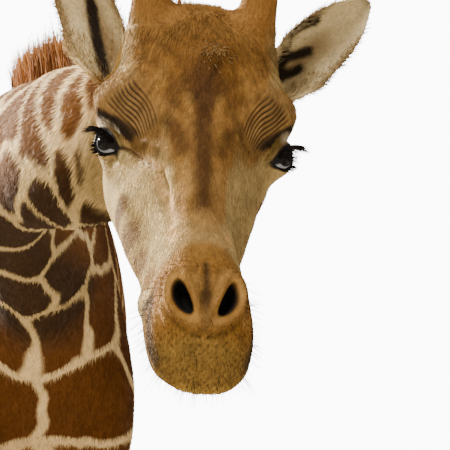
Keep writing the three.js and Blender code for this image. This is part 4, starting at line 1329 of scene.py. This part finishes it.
def head_sizes(roots):
    """Length, width and rise of the hair on the head."""
    fold = folded_spot(roots)[1]
    muzzle = ramp(fold[:, 1], 230, 320)
    jaw = ramp(fold[:, 2], -50, -100)
    crown = ramp(fold[:, 1], -30, -110)
    eye_reach = ramp(lid_angle(roots)[3], 62, 30)
    length = (0.0075 - 0.0030 * muzzle + 0.003 * jaw + 0.008 * crown) * (1 - 0.4 * eye_reach)
    width = 0.00085 - 0.00025 * np.maximum(muzzle, eye_reach) + 0.0004 * crown
    return length, width, 0.075 + 0.16 * crown + 0.05 * jaw


def on_ears(places):
    """1 on the ears and the ossicones."""
    near = ear_colours(places)[1] + knob_share(places)
    return np.clip(near, 0, 1) * (from_head_centre(places) < EAR_FAR)


def on_head_coat(inside):
    """The weight of tufts on the part of the head that is inside, the ears and knobs left out."""

    def weigh(places):
        spot, distance = to_head(places), from_head_centre(places)
        crest = (spot[:, 2] > 0.06) | (spot[:, 1] > 0.16)
        near = np.maximum(ramp(distance, 0.40, 0.35), crest * (distance < 0.45))
        clear = (1 - ear_colours(places)[1]) * (1 - knob_share(places))
        return inside(spot) * near * clear * hair_grows(places)

    return weigh


def on_body_coat(inside):
    """The weight of tufts on a part of the body: inside is given x from the middle, y and z."""

    def weigh(places):
        far = from_head_centre(places)
        here = inside(places[:, 0] - body_middle, places[:, 1], places[:, 2])
        return here * (1 - on_ears(places)) * hair_grows(places) * ramp(far, 0.34, 0.38)

    return weigh


coat = []
HEAD_PARTS = {
    "coat_face": lambda spot: spot[:, 1] > FACE_SPLIT,
    "coat_crown": lambda spot: spot[:, 1] <= FACE_SPLIT,
}
for name, inside in HEAD_PARTS.items():
    roots, normals = skin_roots(COAT_TUFTS, on_head_coat(inside))
    coat.append(spikes(name, roots, normals, *head_sizes(roots), root_colours(roots), 0.1))
roots, normals = skin_roots(EAR_TUFTS, on_ears)
sizes = (np.full(EAR_TUFTS, size) for size in (0.0065, 0.0009, 0.12))
coat.append(spikes("coat_ears", roots, normals, *sizes, root_colours(roots)))

# Each part of the body: where it is, how many tufts, and their length, width and rise.
BODY_PARTS = {
    "coat_nape": (lambda x, y, z: y < -0.45, COAT_TUFTS, 0.016, 0.0018, 0.15),
    "coat_chest": (lambda x, y, z: (y >= -0.45) & (y < 0.42) & (z > 1.5), COAT_TUFTS, 0.022, 0.0024, 0.14),
    "coat_right": (lambda x, y, z: (y >= 0.42) & (z > 1.5) & (x < 0), COAT_TUFTS, 0.026, 0.0034, 0.12),
    "coat_left": (lambda x, y, z: (y >= 0.42) & (z > 1.5) & (x >= 0), COAT_TUFTS, 0.026, 0.0034, 0.12),
    "coat_legs": (lambda x, y, z: z <= 1.5, LEG_TUFTS, 0.012, 0.00195, 0.13),
}
for name, (inside, count, length, width, rise) in BODY_PARTS.items():
    roots, normals = skin_roots(count, on_body_coat(inside))
    shorter = 0.6 + 0.4 * ramp(roots[:, 2], 0.05, 0.5)
    sizes = length * shorter, width * shorter, np.full(count, rise)
    coat.append(spikes(name, roots, normals, *sizes, root_colours(roots)))
for piece in coat:
    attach(piece, "root")

# ------------------------------------------------------------------ long hair
# The upright mane, the black tail tuft, the lashes, the fringes of the ears and the whiskers
# are locks: three-sided, tapering, curved and closed at both ends.


def locks(name, paths, radii, colours):
    """Closed curved locks: paths is locks by stations by 3, with a radius at every station."""
    count, stations, _ = paths.shape
    ahead = np.gradient(paths, axis=1)
    ahead /= np.maximum(np.linalg.norm(ahead, axis=2), 1e-9)[:, :, None]
    hint = np.where(np.abs(ahead[:, :1, 2:]) < 0.8, [[[0, 0, 1.0]]], [[[1.0, 0, 0]]])
    side = np.cross(ahead, hint)
    side /= np.linalg.norm(side, axis=2)[:, :, None]
    over = np.cross(side, ahead)
    turn = 2 * math.pi * np.arange(3) / 3 + chance.uniform(0, 2, (count, 1))
    cosine, sine = np.cos(turn)[:, None, :, None], np.sin(turn)[:, None, :, None]
    circle = cosine * side[:, :-1, None] + sine * over[:, :-1, None]
    rings = paths[:, :-1, None] + circle * np.asarray(radii)[:, :-1, None, None]
    points = np.concatenate([rings.reshape(count, -1, 3), paths[:, -1:]], axis=1)
    each = points.shape[1]
    triangles = [[0, 2, 1]]
    for ring in range(stations - 2):
        for corner in range(3):
            low, low_next = 3 * ring + corner, 3 * ring + (corner + 1) % 3
            triangles += [[low, low_next, low_next + 3], [low, low_next + 3, low + 3]]
    last = 3 * (stations - 2)
    triangles += [[last + corner, last + (corner + 1) % 3, each - 1] for corner in range(3)]
    triangles = (each * np.arange(count)[:, None, None] + triangles).reshape(-1, 3)
    tones = colours * chance.uniform(0.75, 1.25, count)[:, None]
    tones = np.repeat(tones[:, None, :], each, axis=1) * np.linspace(0.8, 1.15, each)[None, :, None]
    fan = np.stack([np.cos(2.1 * np.arange(each)), np.linspace(-1, 1, each)], axis=1) * PATCH_HALF
    bake = bake_spot(paths[:, 0])[:, None, :] + fan
    made = points.reshape(-1, 3), triangles, tones.reshape(-1, 3), bake.reshape(-1, 2)
    item = triangle_piece(name, *made)
    work = bmesh.new()
    work.from_mesh(item.data)
    if work.calc_volume(signed=True) < 0:
        bmesh.ops.reverse_faces(work, faces=work.faces)
        work.to_mesh(item.data)
    work.free()
    return item


def bent_paths(roots, ways, lengths, bends, stations):
    """Paths that set out along ways and lean over by bends towards their ends."""
    share = np.linspace(0, 1, stations)[None, :, None]
    lengths = np.asarray(lengths)[:, None, None]
    return roots[:, None] + ways[:, None] * share * lengths + bends[:, None] * share**2 * lengths


def unit_rows(rows):
    return rows / np.linalg.norm(rows, axis=1)[:, None]


def plain_rows(colour, count):
    return np.repeat([colour], count, axis=0)


# The mane stands in the frame's own mane, rooted in the nape and a little ragged at the top.
MANE_LOCKS = 7600
MANE_TALL = 0.088
MANE_DEPTH = 0.040
MANE_RAGGED = 0.012
MANE_HALF_WIDTH = 0.009
MANE_RADII = np.array([[0.0016, 0.0015, 0.0010, 0.0]])
MANE_CHESTNUT = shade(136, 86, 42)
MANE_DARK = shade(74, 46, 24)

ridge = merged_copy("mane", "ridge")
form = places_of(ridge)
bpy.data.objects.remove(ridge)
stations = np.linspace(form[:, 1].min() + 0.03, form[:, 1].max() - 0.02, 22)
trend = np.polyfit(form[:, 1], form[:, 2], 5)
above = form[:, 2] - np.polyval(trend, form[:, 1])
top, across = [], []
for station in stations:
    close = np.abs(form[:, 1] - station) < 0.10
    top.append(np.polyval(trend, station) + np.sort(above[close])[-2:].mean() + MANE_RAGGED)
    across.append(form[close, 0].mean())
along = chance.uniform(stations[0] - 0.02, stations[-1] + 0.01, MANE_LOCKS)
crest = np.interp(along, stations, top)
slope = np.interp(along, stations, np.gradient(top, stations))
upright = unit_rows(np.stack([0 * along, -slope, np.ones(MANE_LOCKS)], axis=1))
tall = MANE_TALL * (0.45 + 0.55 * ramp(along, stations[-1] + 0.02, stations[-1] - 0.22))
crests = np.stack([np.interp(along, stations, across), along, crest], axis=1)
roots = crests - upright * (tall + MANE_DEPTH + MANE_RAGGED)[:, None]
roots[:, 0] += chance.uniform(-MANE_HALF_WIDTH, MANE_HALF_WIDTH, MANE_LOCKS)
ways = upright + chance.normal(0, 0.09, (MANE_LOCKS, 3))
bends = chance.normal(0, 0.07, (MANE_LOCKS, 3)) + [0, 0.10, 0]
lengths = (tall + MANE_DEPTH + 0.008) * chance.uniform(0.86, 1.0, MANE_LOCKS)
radii = MANE_RADII * chance.uniform(0.7, 1.2, (MANE_LOCKS, 1))
clumps = 0.5 + 0.5 * np.sin(along * 47 + 3 * np.sin(along * 19))
mane_colour = mixed(plain_rows(MANE_CHESTNUT, MANE_LOCKS), MANE_DARK, 0.6 * clumps)
mane = locks("mane_locks", bent_paths(roots, ways, lengths, bends, 4), radii, mane_colour)
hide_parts("mane")
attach(mane, "root")

# The tail's tuft hangs in long, slightly wavy black hair from the end of the whip.
TUFT_LOCKS = 2600
TUFT_SPREAD = 0.034
TUFT_WAVE = 0.006
TUFT_ROOT_LOW = 1.33
TUFT_ROOT_SPAN = 0.14
TUFT_ROOT_BACK = (0.944, 0.95)
TUFT_CLEAR = 0.004
TUFT_RADII = np.array([[0.0016, 0.0017, 0.0016, 0.0014, 0.0011, 0.0007, 0.0]])
WHIP_RADIUS = 0.011

tuft_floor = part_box("tail_tuft")[0][2]
rise = chance.random(TUFT_LOCKS) ** 0.8
turn = chance.uniform(0, 2 * math.pi, TUFT_LOCKS)
back = np.interp(rise, [0, 1], TUFT_ROOT_BACK) + TAIL_SET
heights = TUFT_ROOT_LOW + TUFT_ROOT_SPAN * rise
starts = np.stack([np.full(TUFT_LOCKS, body_middle), back, heights], axis=1)
outwards = np.stack([np.cos(turn), np.sin(turn), 0 * turn], axis=1)
roots = starts + outwards * WHIP_RADIUS
lengths = np.minimum(chance.uniform(0.30, 0.60, TUFT_LOCKS), roots[:, 2] - tuft_floor - TUFT_CLEAR)
share = np.linspace(0, 1, TUFT_RADII.shape[1])[None, :, None]
spread = (TUFT_SPREAD * chance.random(TUFT_LOCKS) ** 0.6)[:, None, None] * outwards[:, None]
waving = np.sin(share * 7 + chance.uniform(0, 6, (TUFT_LOCKS, 1, 1)))
fuller = np.sin(np.minimum(share * 2.2, 1) * math.pi / 2) * (1 - 0.75 * share**2)
paths = roots[:, None] + spread * fuller + TUFT_WAVE * waving * share * outwards[:, None, [1, 0, 2]]
paths = paths + share * lengths[:, None, None] * np.array([0, 0, -1.0])
radii = TUFT_RADII * chance.uniform(0.8, 1.2, (TUFT_LOCKS, 1))
tail_hair = locks("tail_locks", paths, radii, plain_rows(shade(34, 26, 21), TUFT_LOCKS))
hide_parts("tail_tuft")
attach(tail_hair, "root")

# Lashes stand out of the upper lid in a flat brim with drooping tips, and short ones line the lower.
LASHES = {"upper": (190, 0.026, 29.2, -0.55), "lower": (60, 0.009, 28.4, -0.1)}
LASH_RADII = [0.0006, 0.00056, 0.00044, 0.00026, 0]
UPPER_LASH_WAY = np.array([0.55, -0.15, 0.12])
lash_paths = []
for word in SIDES:
    mirror = np.array([SIDES[word], 1, 1])
    for row, (count, length, rim_radius, droop) in LASHES.items():
        up = 1 if row == "upper" else -1
        wide = chance.uniform(-0.95, 0.72, count) * FISSURE_HALF
        arch = (1 - np.abs(wide / FISSURE_HALF) ** LID_ROUND) ** (1 / LID_ROUND)
        tall = up * opening_half(wide) * arch * 1.08
        flat = np.maximum(np.hypot(wide, tall), 1e-6)[:, None]
        sideways = (wide[:, None] * FISSURE + tall[:, None] * LID_UP) / flat
        ways = np.cos(np.radians(flat)) * GAZE + np.sin(np.radians(flat)) * sideways
        roots = from_head((eye_spot[word] + ways * rim_radius * mirror) / MM)
        aim = unit_rows(ways * 0.55 + GAZE * 0.5 + UPPER_LASH_WAY * (up > 0))
        aim = head_direction(aim * mirror) + chance.normal(0, 0.06, (count, 3))
        bends = np.array([0, 0, droop]) + chance.normal(0, 0.05, (count, 3))
        sizes = length * chance.uniform(0.75, 1.15, count)
        lash_paths.append(bent_paths(roots, aim, sizes, bends, len(LASH_RADII)))
lash_paths = np.vstack(lash_paths)
lash_count = len(lash_paths)
lash_colour = plain_rows(shade(22, 16, 13), lash_count)
lashes = locks("lashes", lash_paths, plain_rows(LASH_RADII, lash_count), lash_colour)

# Whiskers and bristles on the lips and chin, dark and sparse.
WHISKERS = 420
WHISKER_RADII = [0.0003, 0.00026, 0.00016, 0]
WHISKER_SAG = -0.2
ROOT_DEPTH = 0.001


def on_lips(places):
    fold = folded_spot(places)[1]
    inside = (fold[:, 1] > 285) & (from_head_centre(places) < 0.45)
    return inside * (0.35 + ramp(fold[:, 2], 10, -50)) * hair_grows(places)


roots, normals = skin_roots(WHISKERS, on_lips)
ways = unit_rows(normals + 0.35 * hair_lie(roots) + chance.normal(0, 0.12, (WHISKERS, 3)))
lengths = chance.uniform(0.007, 0.026, WHISKERS)
bends = np.array([0, 0, WHISKER_SAG]) + chance.normal(0, 0.08, (WHISKERS, 3))
paths = bent_paths(roots - normals * ROOT_DEPTH, ways, lengths, bends, len(WHISKER_RADII))
radii = plain_rows(WHISKER_RADII, WHISKERS)
whiskers = locks("whiskers", paths, radii, plain_rows(shade(44, 32, 22), WHISKERS))

# Long pale hair fringes the rims of the ears and fills their mouths, and wisps stand on the
# bump of the brow.
FRINGE = 3600
FRINGE_RADII = [0.0006, 0.00055, 0.0003, 0]
FRINGE_PALE = shade(190, 166, 122)
FRINGE_FORWARD = head_direction([0, 0.35, 0.1])
WISPS_AT = [10, -48, 138]


def on_rims(places):
    spot = to_head(places) * MM
    share = np.zeros(len(places))
    for word, (gap, up, away) in ear_gaps(places).items():
        facing = ear_axes(word)[2]
        rim = ramp(ear_rim(word, up, away), 0.7, 0.95)
        here = ramp(gap, 62, 54) * rim * ramp(up, 0.0, 0.1)
        inner = ramp(gap, 50, 40) * ramp(up, 0.5, 0.2) * (away @ facing / MM > -0.010) * 0.5
        share = np.maximum(share, np.maximum(here, inner))
    share = share * (np.abs(spot[:, 0]) > EAR_SIDE)
    wisps = 0.8 * bell(np.linalg.norm(spot - WISPS_AT, axis=1), 12)
    return np.maximum(share, wisps) * (from_head_centre(places) < EAR_FAR)


roots, normals = skin_roots(FRINGE, on_rims)
ways = 0.75 * unit_rows(hair_lie(roots)) + 0.5 * normals
ways = unit_rows(ways + FRINGE_FORWARD + chance.normal(0, 0.10, (FRINGE, 3)))
lengths = chance.uniform(0.008, 0.017, FRINGE)
bends = chance.normal(0, 0.12, (FRINGE, 3))
paths = bent_paths(roots - normals * ROOT_DEPTH, ways, lengths, bends, len(FRINGE_RADII))
fringe_colour = mixed(root_colours(roots), FRINGE_PALE, np.full(FRINGE, 0.45))
fringe = locks("ear_fringe", paths, plain_rows(FRINGE_RADII, FRINGE), fringe_colour)
for piece in (lashes, whiskers, fringe):
    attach(piece, "root")

# ------------------------------------------------------------------ light and floor
# A bright hazy sky, a sun from above and a little behind the animal's right, a soft lamp in
# front for the light thrown back by dry ground, and the pale ground itself.
SKY_LIGHT = 0.36
SKY_SEEN = 11.0
SUN_STRENGTH = 22.0
SUN_AT = (-4.6, 3.0, 5.2)
FILL_WATTS = 400
FILL_AT = (-1.8, -4.4, 6.6)
FLOOR_HALF = 30
FLOOR_COLOUR = (0.40, 0.37, 0.32)

world = bpy.data.worlds.new("sky")
world.use_nodes = True
world.node_tree.nodes["Background"].inputs["Color"].default_value = (1, 1, 1, 1)
seen = world.node_tree.nodes.new("ShaderNodeLightPath").outputs["Is Camera Ray"]
strength = add(world.node_tree, "MapRange", {"Value": seen, "To Min": SKY_LIGHT, "To Max": SKY_SEEN})[0]
world.node_tree.links.new(strength, world.node_tree.nodes["Background"].inputs["Strength"])
bpy.context.scene.world = world


def lamp(name, kind, energy, place, **more):
    """A lamp turned towards the head."""
    data = bpy.data.lights.new(name, kind)
    data.energy = energy
    for word, value in more.items():
        setattr(data, word, value)
    item = bpy.data.objects.new(name, data)
    bpy.context.scene.collection.objects.link(item)
    item.location = place
    item.rotation_euler = (Vector(head_origin) - item.location).to_track_quat("-Z", "Y").to_euler()


lamp("sun", "SUN", SUN_STRENGTH, SUN_AT, angle=math.radians(3), color=(1, 0.94, 0.84))
lamp("fill", "AREA", FILL_WATTS, FILL_AT, size=1.8, color=(1, 0.97, 0.92))
deselect_all()
bpy.ops.mesh.primitive_plane_add(size=2 * FLOOR_HALF)
floor = bpy.context.object
floor.name = "floor"
floor.data.materials.append(plain_material("ground", FLOOR_COLOUR, 0.9)[0])
